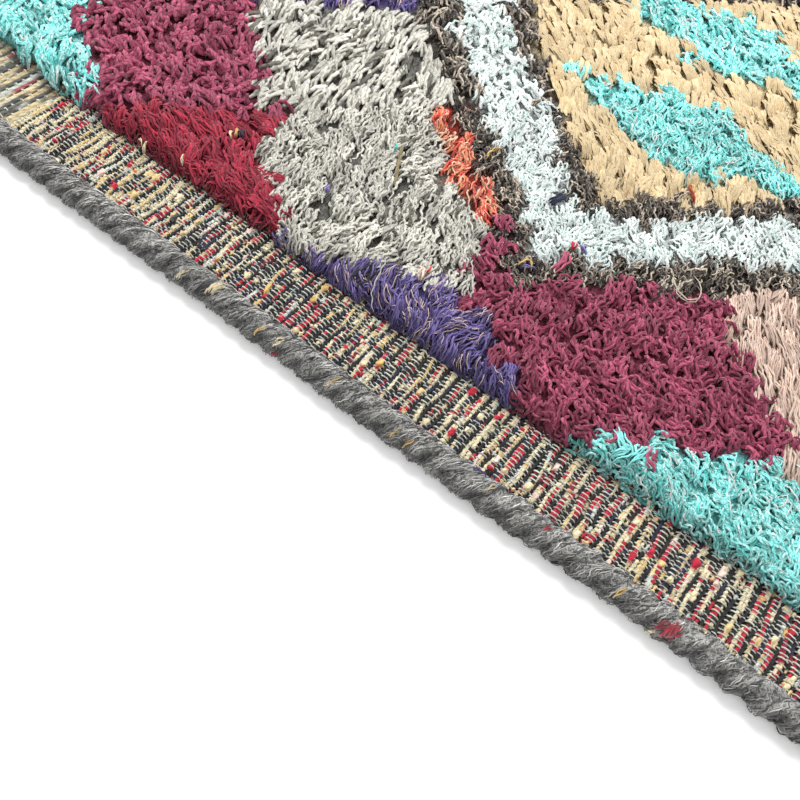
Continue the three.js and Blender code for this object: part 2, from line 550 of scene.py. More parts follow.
@dataclass(frozen=True)
class YarnFinish:
    """The look of a yarn: its fibres, its plies and the second colour that is spun into it, with painted
    shade in its ply grooves, near its root and along its edges.
    """

    name: str
    marl: tuple[float, float, float] = (0.5, 0.5, 0.5)
    marl_share: float = 0.0
    fibre: float = 0.45
    plies: float = 2.0
    twist: float = 14.0
    waver: float = 0.0
    waver_run: float = 4.5
    groove: float = 0.4
    root_shade: float = 0.3
    root_run: float = 7.0
    painted_edge_shade: float = 0.3
    sheen: float = 0.2
    rough: float = 0.9
    relief: float = 0.0003

    def material(self) -> bpy.types.Material:
        """Makes the yarn's material, on the yarn's own UV map and dye.

        Returns:
            The material.
        """
        tree = Tree(self.name)
        around, along, _ = tree.axes(tree.node("ShaderNodeUVMap", {"uv_map": "yarn"}, {}).outputs[0])
        dye = tree.dye()
        own = Number(tree, dye.outputs["Alpha"])
        seed = own * 71.0
        fine = tree.noise(tree.vector(around * 2.4 + seed, seed, along * 0.3), 1.9, 3.0, 0.65)
        slow = tree.noise(tree.vector(around * 0.7 + seed, seed, along * 0.14), 1.4)
        swing = (along * (TAU / self.waver_run) + seed).sine() * self.waver
        angle = around * (TAU * self.plies) + along * (TAU / self.twist) + swing + slow * 7.0
        ply = (angle.sine() * 0.5 + 0.5).between(0.05, 0.6)
        height = fine * 0.4 + ply * 0.6
        # Painted shade: the grooves between plies are darkened by the groove share; the fibre noise gives
        # tone that strays at random.
        shade = (fine - 0.5) * (2.4 * self.fibre) + ply * self.groove + (1.0 - 0.7 * self.groove)
        # Painted shade: each strand darkens towards its root, over root_run millimetres, as the shade deep
        # in the pile.
        root_shading = along.between(0.0, self.root_run) * self.root_shade + (1.0 - self.root_shade)
        colour = dye.outputs["Color"]
        if self.marl_share > 0.0:
            edge = 0.5 + 0.3 * (0.5 - self.marl_share)
            spun = (slow * 0.4 + fine * 0.6).between(edge - 0.06, edge + 0.06) * (1.0 - own.over(1.5))
            colour = tree.blend("MIX", spun, colour, self.marl)
        # Painted shade: a lying strand is darkened towards its two edges, as the shade between strands.
        brink = around * 2.0 - 1.0
        edge_shading = 1.0 - (brink * brink).between(0.1, 0.95) * self.painted_edge_shade
        colour = tree.shaded(colour, shade * root_shading * edge_shading)
        shader = {
            "Roughness": self.rough, "Sheen Weight": self.sheen, "Sheen Roughness": 0.6,
            "Specular IOR Level": 0.12}
        return tree.finish(colour, shader, height, self.relief)


@dataclass(frozen=True)
class WeaveFinish:
    """The plain-woven ground cloth, as its underside and the gaps in its bands show it, with its top
    coloured dark as painted shade in those gaps.
    """

    name: str
    pale: tuple[float, float, float]
    dark: tuple[float, float, float]
    under_pale: tuple[float, float, float]
    under_dark: tuple[float, float, float]
    blotch_scale: float = 160.0
    row_scale: float = 300.0
    under_heights: tuple[float, float] = (0.0004, 0.0006)
    relief: float = 0.0006

    def material(self) -> bpy.types.Material:
        """Makes the cloth's material on its place in the rug.

        Returns:
            The material.
        """
        tree = Tree(self.name)
        x, y, z = tree.axes(tree.place())
        across = (x * (TAU / (WEFT_PITCH * MM))).sine()
        along = (y * (TAU / (2 * WARP_PITCH * MM))).sine()
        weave = across * along * 0.5 + 0.5
        blotch = tree.noise(tree.vector(x, y * 0.25, 0.0), self.blotch_scale, 3.0, 0.6)
        colour = tree.blend("MIX", blotch.between(0.4, 0.62), self.dark, self.pale)
        rows = tree.noise(tree.vector(x, y * 0.06, 0.0), self.row_scale, 4.0, 0.75)
        under = tree.blend("MIX", rows.between(0.36, 0.6), self.under_dark, self.under_pale)
        colour = tree.blend("MIX", z.between(*self.under_heights), under, colour)
        # Painted shade: the colour is darkened where the weave dips.
        colour = tree.shaded(colour, weave * 0.5 + 0.55)
        return tree.finish(colour, {"Roughness": 0.95, "Specular IOR Level": 0.1}, weave, self.relief)


@dataclass(frozen=True)
class WoolFinish:
    """Thick felted wool, on its place in the rug, darkened by the painted shade that its piece carries in
    its dye layer.
    """

    name: str
    dark: tuple[float, float, float]
    pale: tuple[float, float, float]
    crimp_run: float = 0.0026
    crimp_width: float = 0.0004
    fibre_scale: float = 1500.0
    blotch_scale: float = 240.0
    relief: float = 0.0009

    def material(self) -> bpy.types.Material:
        """Makes the wool's material.

        Returns:
            The material.
        """
        tree = Tree(self.name)
        place = tree.place()
        x, y, z = tree.axes(place)
        crimp = ((y + z) * (TAU / self.crimp_run)).sine() * self.crimp_width
        curly = tree.noise(tree.vector(x + crimp, y * 0.42, z * 0.42), self.fibre_scale, 3.0, 0.65)
        tone = curly * 0.8 + tree.noise(place, self.blotch_scale) * 0.2
        colour = tree.blend("MIX", tone.between(0.4, 0.6), self.dark, self.pale)
        # Painted shade: the dye layer of the cord's body holds the wool's shade, not a colour of its own.
        colour = tree.blend("MULTIPLY", 1.0, colour, tree.dye().outputs["Color"])
        shader = {
            "Roughness": 0.95, "Sheen Weight": 0.4, "Sheen Roughness": 0.6, "Specular IOR Level": 0.1}
        return tree.finish(colour, shader, tone, self.relief)


@dataclass(frozen=True)
class BedFinish:
    """The mass of yarn under the tips, in its yarns' colours darkened as painted shade, with streaks of
    strands.
    """

    name: str
    strand_scale: float = 700.0
    relief: float = 0.0015

    def material(self) -> bpy.types.Material:
        """Makes the bed's material on its dye and its place in the rug.

        Returns:
            The material.
        """
        tree = Tree(self.name)
        x, y, z = tree.axes(tree.place())
        strands = tree.noise(tree.vector(x * 1.6 + y * 0.3, y * 0.6, z), self.strand_scale, 3.0, 0.7)
        # Painted shade: the strand pattern darkens the bed between strands.
        colour = tree.shaded(tree.dye().outputs["Color"], strands.between(0.3, 0.68) * 0.9 + 0.25)
        return tree.finish(colour, {"Roughness": 0.95, "Specular IOR Level": 0.1}, strands, self.relief)


@dataclass(frozen=True)
class FloorFinish:
    """The plain pale floor, lit from beneath a little so that shadows on it stay light."""

    name: str
    colour: tuple[float, float, float]
    glow: float = 0.2
    grain_scale: float = 40.0
    grain_share: float = 0.02
    relief: float = 0.00005

    def material(self) -> bpy.types.Material:
        """Makes the floor's material.

        Returns:
            The material.
        """
        tree = Tree(self.name)
        grain = tree.noise(tree.place(), self.grain_scale)
        colour = tree.blend("MULTIPLY", self.grain_share, self.colour, tree.grey(grain))
        shader = {
            "Roughness": 0.8, "Specular IOR Level": 0.1, "Emission Color": (1.0, 1.0, 1.0, 1.0),
            "Emission Strength": self.glow}
        return tree.finish(colour, shader, grain, self.relief)


class Shade(Enum):
    """The wools and rags of the pile, the bands and the overcasting, as a picture shows them."""

    SILVER = (218, 215, 204)
    SILVER_DARK = (122, 119, 108)
    PLUM = (186, 88, 116)
    PLUM_DEEP = (140, 52, 80)
    PURPLE = (141, 125, 192)
    PURPLE_DEEP = (88, 73, 134)
    FLECK = (252, 222, 210)
    CRIMSON = (200, 50, 78)
    CRIMSON_DEEP = (146, 30, 54)
    TURQUOISE = (154, 248, 244)
    TURQUOISE_DEEP = (94, 215, 209)
    TURQUOISE_PALE = (228, 247, 242)
    ICE = (246, 251, 249)
    ICE_GREEN = (222, 240, 235)
    CHARCOAL = (128, 118, 108)
    CHARCOAL_DARK = (56, 50, 46)
    CHARCOAL_PALE = (206, 192, 174)
    SAND = (230, 208, 166)
    SAND_DEEP = (214, 186, 140)
    CORAL = (226, 82, 70)
    ORANGE = (242, 146, 106)
    PEACH = (250, 206, 176)
    DUSTY = (238, 212, 194)
    DUSTY_DEEP = (214, 182, 164)
    BROWN = (96, 48, 26)
    NAVY = (38, 42, 66)
    RUST = (170, 60, 30)
    GOLD = (222, 184, 112)
    OLIVE = (134, 122, 88)
    BLACK = (38, 38, 40)
    CREAM = (236, 220, 180)
    STRAW = (226, 198, 142)
    RED = (190, 38, 60)
    PALE_GREY = (206, 212, 208)
    WARP = (230, 231, 214)
    GREY = (178, 177, 173)
    GREY_DARK = (78, 77, 75)
    GREY_PALE = (212, 210, 205)

    def light(self) -> Array:
        """The colour in linear light."""
        return np.array(linear(*self.value))


def dyed(rng: np.random.Generator, count: int, blend: Sequence[tuple[Shade, float]], spread: float) -> Array:
    """Draws a dye for each yarn.

    Args:
        rng: the source of chance.
        count: how many yarns.
        blend: the shades, each with its share.
        spread: how far a yarn's brightness strays.

    Returns:
        The colours, each with a number of its own, as yarn by 4.
    """
    shades = np.array([shade.light() for shade, _ in blend])
    shares = np.array([share for _, share in blend])
    picked = shades[rng.choice(len(blend), count, p=shares / shares.sum())]
    bright = 1.0 + spread * rng.uniform(-1.0, 1.0, (count, 1))
    return np.concatenate([picked * bright, rng.random((count, 1))], axis=1)


@dataclass(frozen=True)
class Yarn:
    """One yarn of the pile: how its tufts are dyed, cut, bent and laid. Sizes in millimetres."""

    name: str
    blend: tuple[tuple[Shade, float], ...]
    finish: YarnFinish
    width: float
    length: float
    strands: int
    heading: float
    tangle: float = 14.0
    splay: float = 8.0
    curl: float = 1.5
    wave: float = 10.0
    wave_run: float = 7.0
    gather: float = 0.35
    crown: float = 1.5
    lift: float = 1.1
    ruffle: float = 0.45
    spread: float = 0.14
    sides: int = 2
    flatness: float = 0.85
    # The bed's brightness as a share of the yarn's colour: painted shade between the strands.
    bed: float = 0.5
    flecks: tuple[tuple[Shade, float], ...] = ()
    fleck_share: float = 0.0
    fleck_width: float = 0.55
    points: int = 6
    tip: float = 0.6


class Dye(Enum):
    """The yarns of the pile."""

    SILVER = Yarn(
        "silver", ((Shade.SILVER, 0.86), (Shade.SILVER_DARK, 0.14)),
        YarnFinish(
            "silver_marl", Shade.SILVER_DARK.light(), 0.08, fibre=0.45, plies=0.8, waver=1.2,
            waver_run=4.4, groove=0.35, painted_edge_shade=0.56, relief=0.0004),
        width=1.55, length=14.5, strands=11, heading=278.0, tangle=27.0, splay=13.0, curl=3.0, wave=44.0,
        wave_run=5.4, gather=0.3, lift=1.5, ruffle=0.7, bed=0.3, points=11, tip=0.8)
    PLUM = Yarn(
        "plum", ((Shade.PLUM, 0.7), (Shade.PLUM_DEEP, 0.3)),
        YarnFinish(
            "plum_cotton", Shade.PLUM_DEEP.light(), 0.25, fibre=0.45, plies=1.5, twist=3.6,
            groove=0.4, painted_edge_shade=0.4, relief=0.0005),
        width=1.75, length=12.5, strands=10, heading=306.0, tangle=40.0, splay=30.0, curl=9.0, wave=38.0,
        wave_run=7.5, gather=0.15, crown=1.2, lift=1.9, ruffle=1.0, bed=0.4, points=8, tip=0.8)
    PURPLE = Yarn(
        "purple", ((Shade.PURPLE, 0.65), (Shade.PURPLE_DEEP, 0.35)),
        YarnFinish(
            "purple_wool", Shade.PURPLE_DEEP.light(), 0.3, fibre=0.8, plies=1.4, twist=16.0, waver=1.4,
            groove=0.4, painted_edge_shade=0.4, root_shade=0.35, relief=0.0005),
        width=0.92, length=12.0, strands=22, heading=264.0, tangle=28.0, splay=22.0, wave=34.0,
        wave_run=7.0, lift=1.5, ruffle=0.7, flatness=0.7, bed=0.35, flecks=((Shade.FLECK, 1.0),),
        fleck_share=0.16, fleck_width=0.5)
    CRIMSON = Yarn(
        "crimson", ((Shade.CRIMSON, 0.6), (Shade.CRIMSON_DEEP, 0.4)),
        YarnFinish(
            "crimson_wool", Shade.CRIMSON_DEEP.light(), 0.35, fibre=0.8, plies=2.0, twist=16.0, waver=1.6,
            waver_run=6.0, groove=0.4, painted_edge_shade=0.2, root_shade=0.35, relief=0.0005),
        width=1.3, length=13.0, strands=19, heading=332.0, tangle=40.0, splay=18.0, wave=38.0, lift=1.7,
        ruffle=0.35, flatness=0.5, bed=0.45)
    TURQUOISE = Yarn(
        "turquoise", ((Shade.TURQUOISE, 0.75), (Shade.TURQUOISE_DEEP, 0.25)),
        YarnFinish(
            "turquoise_wool", Shade.TURQUOISE_PALE.light(), 0.3, fibre=0.45, plies=1.4, waver=2.0,
            waver_run=3.8, groove=0.3, painted_edge_shade=0.2, root_shade=0.15, relief=0.0005),
        width=1.35, length=13.5, strands=14, heading=312.0, tangle=34.0, splay=20.0, curl=14.0, wave=32.0,
        wave_run=6.0, gather=0.45, lift=1.4, ruffle=0.6, bed=0.8, points=8,
        flecks=((Shade.ICE, 1.0),), fleck_share=0.08, fleck_width=0.75)
    ICE = Yarn(
        "ice", ((Shade.ICE, 0.75), (Shade.ICE_GREEN, 0.25)),
        YarnFinish(
            "ice_wool", Shade.ICE_GREEN.light(), 0.35, fibre=0.35, plies=1.4, waver=2.6, waver_run=3.4,
            groove=0.2, painted_edge_shade=0.25, root_shade=0.1),
        width=1.35, length=12.5, strands=14, heading=294.0, tangle=38.0, splay=26.0, curl=14.0, wave=28.0,
        wave_run=5.8, gather=0.45, ruffle=0.6, bed=0.85, points=8)
    CHARCOAL = Yarn(
        "charcoal", ((Shade.CHARCOAL, 0.4), (Shade.CHARCOAL_DARK, 0.34), (Shade.CHARCOAL_PALE, 0.26)),
        YarnFinish(
            "charcoal_marl", Shade.CHARCOAL_PALE.light(), 0.15, fibre=0.6, plies=0.8, waver=2.0,
            waver_run=3.8, groove=0.4, painted_edge_shade=0.7, relief=0.0004),
        width=1.05, length=12.0, strands=12, heading=298.0, tangle=38.0, splay=26.0, curl=9.0, wave=54.0,
        wave_run=5.2, gather=0.3, ruffle=0.7, bed=0.35, points=10, tip=0.8)
    SAND = Yarn(
        "sand", ((Shade.SAND, 0.85), (Shade.SAND_DEEP, 0.15)),
        YarnFinish(
            "sand_wool", Shade.SAND_DEEP.light(), 0.4, fibre=0.62, plies=3.0, twist=60.0, waver=0.9,
            waver_run=8.0, groove=0.2, painted_edge_shade=0.1, root_shade=0.04, relief=0.0002),
        width=1.75, length=17.0, strands=15, heading=312.0, tangle=20.0, splay=7.0, wave=16.0,
        wave_run=10.0, gather=0.55, ruffle=0.14, spread=0.06, flatness=0.36, bed=1.1, tip=0.35)
    CORAL = Yarn(
        "coral", ((Shade.CORAL, 0.45), (Shade.ORANGE, 0.35), (Shade.PEACH, 0.2)),
        YarnFinish(
            "coral_rag", Shade.PEACH.light(), 0.25, fibre=0.5, plies=1.2, waver=1.6, groove=0.4,
            painted_edge_shade=0.4),
        width=1.2, length=14.0, strands=13, heading=300.0, tangle=24.0, splay=18.0, curl=6.0, wave=36.0,
        ruffle=0.7, points=8)
    DUSTY = Yarn(
        "dusty_pink", ((Shade.DUSTY, 0.75), (Shade.DUSTY_DEEP, 0.25)),
        YarnFinish(
            "dusty_wool", Shade.DUSTY_DEEP.light(), 0.35, fibre=0.5, plies=1.6, waver=1.0, waver_run=8.0,
            groove=0.3, painted_edge_shade=0.4, root_shade=0.2),
        width=1.2, length=16.0, strands=15, heading=300.0, tangle=20.0, splay=9.0, wave=18.0,
        wave_run=9.0, gather=0.5, ruffle=0.35, spread=0.08, flatness=0.6, bed=0.75)
    BROWN = Yarn(
        "brown", ((Shade.BROWN, 0.7), (Shade.RUST, 0.3)),
        YarnFinish("brown_wool", Shade.RUST.light(), 0.2, fibre=0.6, plies=1.5, waver=1.0),
        width=1.4, length=14.0, strands=11, heading=298.0, tangle=26.0, splay=14.0, wave=24.0)


@dataclass(frozen=True)
class Lozenge:
    """A lozenge of the pattern, in millimetres, with the yarn that fills it."""

    dye: Dye
    x: float
    y: float
    half_width: float
    half_height: float

    def covers(self, x: Array, y: Array) -> Array:
        """Says which places lie in the lozenge."""
        return np.abs(x - self.x) / self.half_width + np.abs(y - self.y) / self.half_height < 1.0


@dataclass(frozen=True)
class Bar:
    """A slanting bar of the pattern, in millimetres, with the yarn that fills it."""

    dye: Dye
    x: float
    y: float
    half_length: float
    half_width: float
    slant: float

    def covers(self, x: Array, y: Array) -> Array:
        """Says which places lie in the bar.

        Args:
            x, y: the places in millimetres.

        Returns:
            Whether each lies in it.
        """
        angle = math.radians(self.slant)
        along = (x - self.x) * math.cos(angle) + (y - self.y) * math.sin(angle)
        across = (y - self.y) * math.cos(angle) - (x - self.x) * math.sin(angle)
        return (np.abs(along) < self.half_length) & (np.abs(across) < self.half_width)


# The pattern, each row laid over the ones before: a lattice of lozenges round a nested middle.
# It is the same when the rug is turned half round, so it lists one half and the middle.
LATTICE = (
    Lozenge(Dye.SAND, -432.0, -250.0, 72.0, 60.0),
    Lozenge(Dye.TURQUOISE, -292.0, -250.0, 72.0, 60.0),
    Lozenge(Dye.CRIMSON, -157.0, -252.0, 66.0, 62.0),
    Lozenge(Dye.CRIMSON, 290.0, -250.0, 72.0, 60.0),
    Lozenge(Dye.PURPLE, 428.0, -250.0, 72.0, 60.0),
    Lozenge(Dye.CHARCOAL, -362.0, -187.0, 72.0, 64.0),
    Lozenge(Dye.PLUM, -222.0, -187.0, 74.0, 66.0),
    Lozenge(Dye.BROWN, 222.0, -188.0, 74.0, 66.0),
    Lozenge(Dye.SAND, 360.0, -187.0, 72.0, 64.0),
    Lozenge(Dye.ICE, -432.0, -124.0, 72.0, 64.0),
    Lozenge(Dye.SILVER, -292.0, -124.0, 72.0, 64.0),
    Lozenge(Dye.SILVER, -153.0, -124.0, 74.0, 66.0),
    Lozenge(Dye.PLUM, 53.0, -191.0, 112.0, 84.0),
    Lozenge(Dye.DUSTY, 147.0, -127.0, 78.0, 70.0),
    Lozenge(Dye.PLUM, 292.0, -124.0, 72.0, 64.0),
    Lozenge(Dye.TURQUOISE, 432.0, -124.0, 72.0, 64.0),
    Lozenge(Dye.CORAL, -362.0, -62.0, 72.0, 64.0),
    Lozenge(Dye.PURPLE, -222.0, -62.0, 72.0, 64.0),
    Lozenge(Dye.CRIMSON, 222.0, -62.0, 72.0, 64.0),
    Lozenge(Dye.CHARCOAL, 362.0, -62.0, 72.0, 64.0),
    Lozenge(Dye.DUSTY, 292.0, 0.0, 72.0, 64.0),
    Lozenge(Dye.SAND, 432.0, 0.0, 72.0, 64.0),
    Lozenge(Dye.SILVER, -82.0, -193.0, 73.0, 64.0),
    Lozenge(Dye.TURQUOISE, 152.0, -256.0, 96.0, 64.0),
    Lozenge(Dye.SILVER, -36.0, -214.0, 30.0, 24.0),
    Lozenge(Dye.PURPLE, -21.0, -252.0, 74.0, 33.0),
    Lozenge(Dye.PURPLE, 6.0, -246.0, 32.0, 29.0),
    Bar(Dye.PURPLE, -72.5, -250.0, 20.5, 6.0, 0.0),
    Bar(Dye.TURQUOISE, 66.0, -253.0, 15.0, 5.5, 0.0),
)
MIDDLE = (
    Lozenge(Dye.CHARCOAL, 3.0, -5.0, 228.0, 193.0),
    Lozenge(Dye.ICE, 3.0, -5.0, 196.0, 173.0),
    Lozenge(Dye.CHARCOAL, 3.5, -5.5, 149.0, 135.0),
    Lozenge(Dye.SAND, 4.0, -5.0, 129.0, 117.0),
)
INSETS = (
    Lozenge(Dye.TURQUOISE, 9.0, -46.0, 79.0, 33.5),
    Bar(Dye.CORAL, -60.0, -150.0, 42.0, 8.5, -38.0),
)


def pattern(x: Array, y: Array) -> Array:
    """Finds which yarn each place of the pile has.

    Args:
        x, y: the places in millimetres.

    Returns:
        The yarns' numbers, in the order of Dye.
    """
    order = {dye: number for number, dye in enumerate(Dye)}
    x = x + 5.0 * STRAY_WIDE(x, y) + 2.5 * STRAY_FINE(x, y)
    y = y + 5.0 * STRAY_WIDE(x + 900.0, y) + 2.5 * STRAY_FINE(x + 900.0, y)
    found = np.full(x.shape, order[Dye.SILVER])
    for patches, turned in ((LATTICE, True), (MIDDLE, False), (INSETS, True)):
        for patch in patches:
            mask = patch.covers(x, y)
            if turned:
                mask |= patch.covers(-x, -y)
            found[mask] = order[patch.dye]
    return found


@dataclass(frozen=True)
class Camera:
    """The camera, at the photograph's place and angle. Places in metres, angles in degrees."""

    place: tuple[float, float, float] = (0.110, -0.472, 0.3333)
    yaw: float = 29.319
    tilt: float = 33.765
    roll: float = 11.060
    lens: float = 41.96
    sensor: float = 36.0

    def turn(self) -> Matrix:
        """The camera's rotation."""
        yaw, tilt, roll = (math.radians(a) for a in (self.yaw, self.tilt, self.roll))
        return Matrix.Rotation(yaw, 3, "Z") @ Matrix.Rotation(tilt, 3, "X") @ Matrix.Rotation(roll, 3, "Z")

    def seen(self, x: Array, y: Array) -> tuple[Array, Array]:
        """Finds where places on the pile are in the picture.

        Args:
            x, y: the places in millimetres.

        Returns:
            How far each is from the picture's middle, across and down, as shares of half its width.
        """
        points = np.stack([x * MM, y * MM, np.full(x.shape, 0.01)], axis=-1) - np.array(self.place)
        turned = points @ np.array(self.turn())
        depth = np.where(turned[..., 2] < 0, -turned[..., 2], 1e-6)
        half = self.sensor / 2 / self.lens
        return np.abs(turned[..., 0]) / depth / half, np.abs(turned[..., 1]) / depth / half

    def make(self) -> None:
        """Makes the camera and gives it to the scene."""
        data = bpy.data.cameras.new("camera")
        data.lens = self.lens
        data.sensor_width = self.sensor
        data.sensor_fit = "HORIZONTAL"
        data.clip_start = 0.01
        made = bpy.data.objects.new("camera", data)
        made.matrix_world = Matrix.Translation(self.place) @ self.turn().to_4x4()
        bpy.context.scene.collection.objects.link(made)
        bpy.context.scene.camera = made


CAMERA = Camera()


def coarseness(x: Array, y: Array) -> Array:
    """How much coarser the yarns may be at a place: 1 in the picture's middle, and more farther out.

    Args:
        x, y: the places in millimetres.

    Returns:
        The coarseness, at least 1.
    """
    across, down = CAMERA.seen(x, y)
    to_edge = np.clip((down - 0.70) / 0.05, 0.0, 1.0)
    past_edge = np.clip((np.maximum(across, down) - 1.05) / 0.3, 0.0, 1.0)
    return 1.0 + 0.25 * to_edge + 1.25 * past_edge


@dataclass(frozen=True)
class Reach:
    """A part of the pile by how near the camera it is, and how fine its tufts are made there."""

    nearest: float
    farthest: float
    pitch: tuple[float, float]
    strands: float
    width: float
    points: Union[int, None]


@dataclass
class Pile:
    """The knotted pile: a bed in painted shade, and over it the tufts of each yarn."""

    seed: int = 40
    bed_cell: float = 9.0
    bed_drop: float = 3.2
    front_pitch: float = 4.4
    front_inset: float = 4.0
    lay_shift: tuple[float, float] = (1.5, -1.0)
    root_margin: float = 3.0
    bed_margin: float = 5.5
    tuft_spread: float = 3.7
    rise_share: float = 0.3
    foot_height: float = 1.5
    least_height: float = 0.7
    rim_reach: float = 14.0
    reaches: tuple[Reach, ...] = (
        Reach(0.0, 1.13, (7.2, 7.6), 1.0, 1.0, None),
        Reach(1.13, 1.3, (7.8, 8.2), 0.55, 1.55, 6),
        Reach(1.3, 9.0, (14.0, 14.5), 0.42, 3.0, 4),
    )
    pieces: list[bpy.types.Object] = field(default_factory=list)

    def build(self) -> list[bpy.types.Object]:
        """Makes the bed and the tufts.

        Returns:
            The pieces.
        """
        self.pieces.append(self._bed())
        tubes = {dye: Tubes() for dye in Dye}
        for number, reach in enumerate(self.reaches):
            rng = np.random.default_rng(self.seed + number)
            x, y = self._roots(rng, reach)
            kinds = pattern(x + self.lay_shift[0], y + self.lay_shift[1])
            for kind, dye in enumerate(Dye):
                chosen = kinds == kind
                self._lay(tubes[dye], rng, dye.value, (x[chosen], y[chosen]), reach)
        self._front(tubes)
        for dye, made in tubes.items():
            piece = made.build(f"pile_{dye.value.name}")
            piece.data.materials.append(dye.value.finish.material())
            self.pieces.append(piece)
        for piece in self.pieces:
            dress(piece, "pile_field")
        return self.pieces

    def _bed(self) -> bpy.types.Object:
        """Makes the bed: the closed mass of yarn under the tips, in each yarn's colour scaled by its bed
        share as painted shade.

        Returns:
            The piece.
        """
        columns = int(2 * PILE_HALF_LENGTH / self.bed_cell)
        rows = int(2 * PILE_HALF_DEPTH / self.bed_cell)
        shape = bmesh.new()
        bmesh.ops.create_grid(shape, x_segments=columns, y_segments=rows, size=1.0)
        edge = [e for e in shape.edges if e.is_boundary]
        skirt = bmesh.ops.extrude_edge_only(shape, edges=edge)["geom"]
        low = {v for v in skirt if isinstance(v, bmesh.types.BMVert)}
        bmesh.ops.contextual_create(shape, geom=[e for e in shape.edges if e.is_boundary])
        half = (PILE_HALF_LENGTH - self.bed_margin, PILE_HALF_DEPTH - self.bed_margin)
        for vert in shape.verts:
            x, y = vert.co.x * half[0], vert.co.y * half[1]
            top = float(pile_surface(np.array(x), np.array(y))) - self.bed_drop
            vert.co = Vector((x, y, CLOTH_TOP if vert in low else top)) * MM
        bmesh.ops.recalc_face_normals(shape, faces=shape.faces[:])
        mesh = mesh_of(shape, "pile_bed")
        places = np.array([v.co[:] for v in mesh.vertices]) / MM
        kinds = pattern(places[:, 0] + 0.5 * self.lay_shift[0], places[:, 1] + 0.5 * self.lay_shift[1])
        # Painted shade: each yarn's first shade times its bed share, mostly darker than its tips.
        shades = np.array([dye.value.blend[0][0].light() * dye.value.bed for dye in Dye])
        dyes = np.concatenate([shades[kinds], np.full((len(places), 1), 0.5)], axis=1)
        layer = mesh.color_attributes.new(name="dye", type="FLOAT_COLOR", domain="POINT")
        layer.data.foreach_set("color", dyes.astype(np.float32).ravel())
        mesh.materials.append(BedFinish("pile_bed").material())
        return linked("pile_bed", mesh)

    def _front(self, tubes: dict[Dye, Tubes]) -> None:
        """Packs short low tufts along the front rim where it is seen from near.

        Args:
            tubes: the mesh of each yarn, which they go into.
        """
        rng = np.random.default_rng(self.seed + 20)
        half = PILE_HALF_LENGTH - self.front_inset
        x = np.arange(-half, half, self.front_pitch)
        x = x + rng.uniform(-1.5, 1.5, len(x))
        y = -PILE_HALF_DEPTH + rng.uniform(1.5, 4.5, len(x))
        near = coarseness(x, y) < self.reaches[0].farthest
        x, y = x[near], y[near]
        kinds = pattern(x + self.lay_shift[0], y + self.lay_shift[1])
        for kind, dye in enumerate(Dye):
            short = replace(
                dye.value, length=7.5, strands=10, points=6, crown=-3.0, lift=1.8, ruffle=0.9,
                fleck_share=0.0, splay=34.0, curl=18.0)
            self._lay(tubes[dye], rng, short, (x[kinds == kind], y[kinds == kind]), self.reaches[0])

    def _roots(self, rng: np.random.Generator, reach: Reach) -> tuple[Array, Array]:
        """Sets the knots of a part of the pile, in rows that are staggered and a little uneven.

        Args:
            rng: the source of chance.
            reach: the part.

        Returns:
            The knots' places.
        """
        half = (PILE_HALF_LENGTH - self.root_margin, PILE_HALF_DEPTH - self.root_margin)
        columns = round(2 * half[0] / reach.pitch[0])
        rows = round(2 * half[1] / reach.pitch[1])
        i, j = (a.ravel() for a in np.meshgrid(np.arange(columns), np.arange(rows)))
        across = (i + 0.25 + 0.5 * (j % 2) + 0.38 * rng.uniform(-1.0, 1.0, i.size)) / columns
        down = (j + 0.5 + 0.38 * rng.uniform(-1.0, 1.0, i.size)) / rows
        x = np.clip((2 * across - 1) * half[0], -half[0], half[0])
        y = np.clip((2 * down - 1) * half[1], -half[1], half[1])
        coarse = coarseness(x, y)
        keep = (coarse >= reach.nearest) & (coarse < reach.farthest)
        return x[keep], y[keep]

    def _lay(
            self, tubes: Tubes, rng: np.random.Generator, yarn: Yarn,
            knots: tuple[Array, Array], reach: Reach) -> None:
        """Lays the tufts of one yarn from their knots, each a lock of strands that keep together.

        Args:
            tubes: the mesh that they go into.
            rng: the source of chance.
            yarn: their yarn.
            knots: their places.
            reach: how fine they are made.
        """
        if len(knots[0]) == 0:
            return
        per_lock = max(3, round(yarn.strands * reach.strands))
        own = {
            key: np.repeat(drawn, per_lock)[:, None]
            for key, drawn in self._locks(rng, yarn, knots).items()}
        count = len(own["x"])
        flecked = rng.random(count) < yarn.fleck_share
        share = np.linspace(0.0, 1.0, reach.points or yarn.points)[None, :] ** 0.9
        rise = np.clip(1.0 - share / self.rise_share, 0.0, 1.0)
        own["side"] = rng.uniform(-1.0, 1.0, count)[:, None]
        px, py, bob = self._plan(rng, yarn, own, (share, rise), reach.width)
        arch = np.sin(math.pi * np.clip(share * 1.1, 0.0, 1.0)) ** 0.5
        crown = yarn.crown * (1.0 - own["side"] ** 2) * arch
        stand = own["lift"] + crown + yarn.ruffle * rng.normal(0.0, 1.0, count)[:, None]
        stand = stand + np.where(flecked, 0.45, 0.0)[:, None] - 1.6 * share ** 3
        foot = CLOTH_TOP + self.foot_height
        top = pile_surface(px, py) + stand + bob - 0.6
        pz = np.maximum(foot + (top - foot) * (1.0 - rise ** 2), CLOTH_TOP + self.least_height)
        width = np.where(flecked, yarn.fleck_width, yarn.width * rng.uniform(0.8, 1.2, count)) * reach.width
        taper = np.interp(share[0], [0.0, 0.2, 0.8, 1.0], [0.7, 1.0, 1.0, yarn.tip])
        radii = 0.5 * width[:, None] * taper[None, :]
        dyes = dyed(rng, count, yarn.blend, yarn.spread)
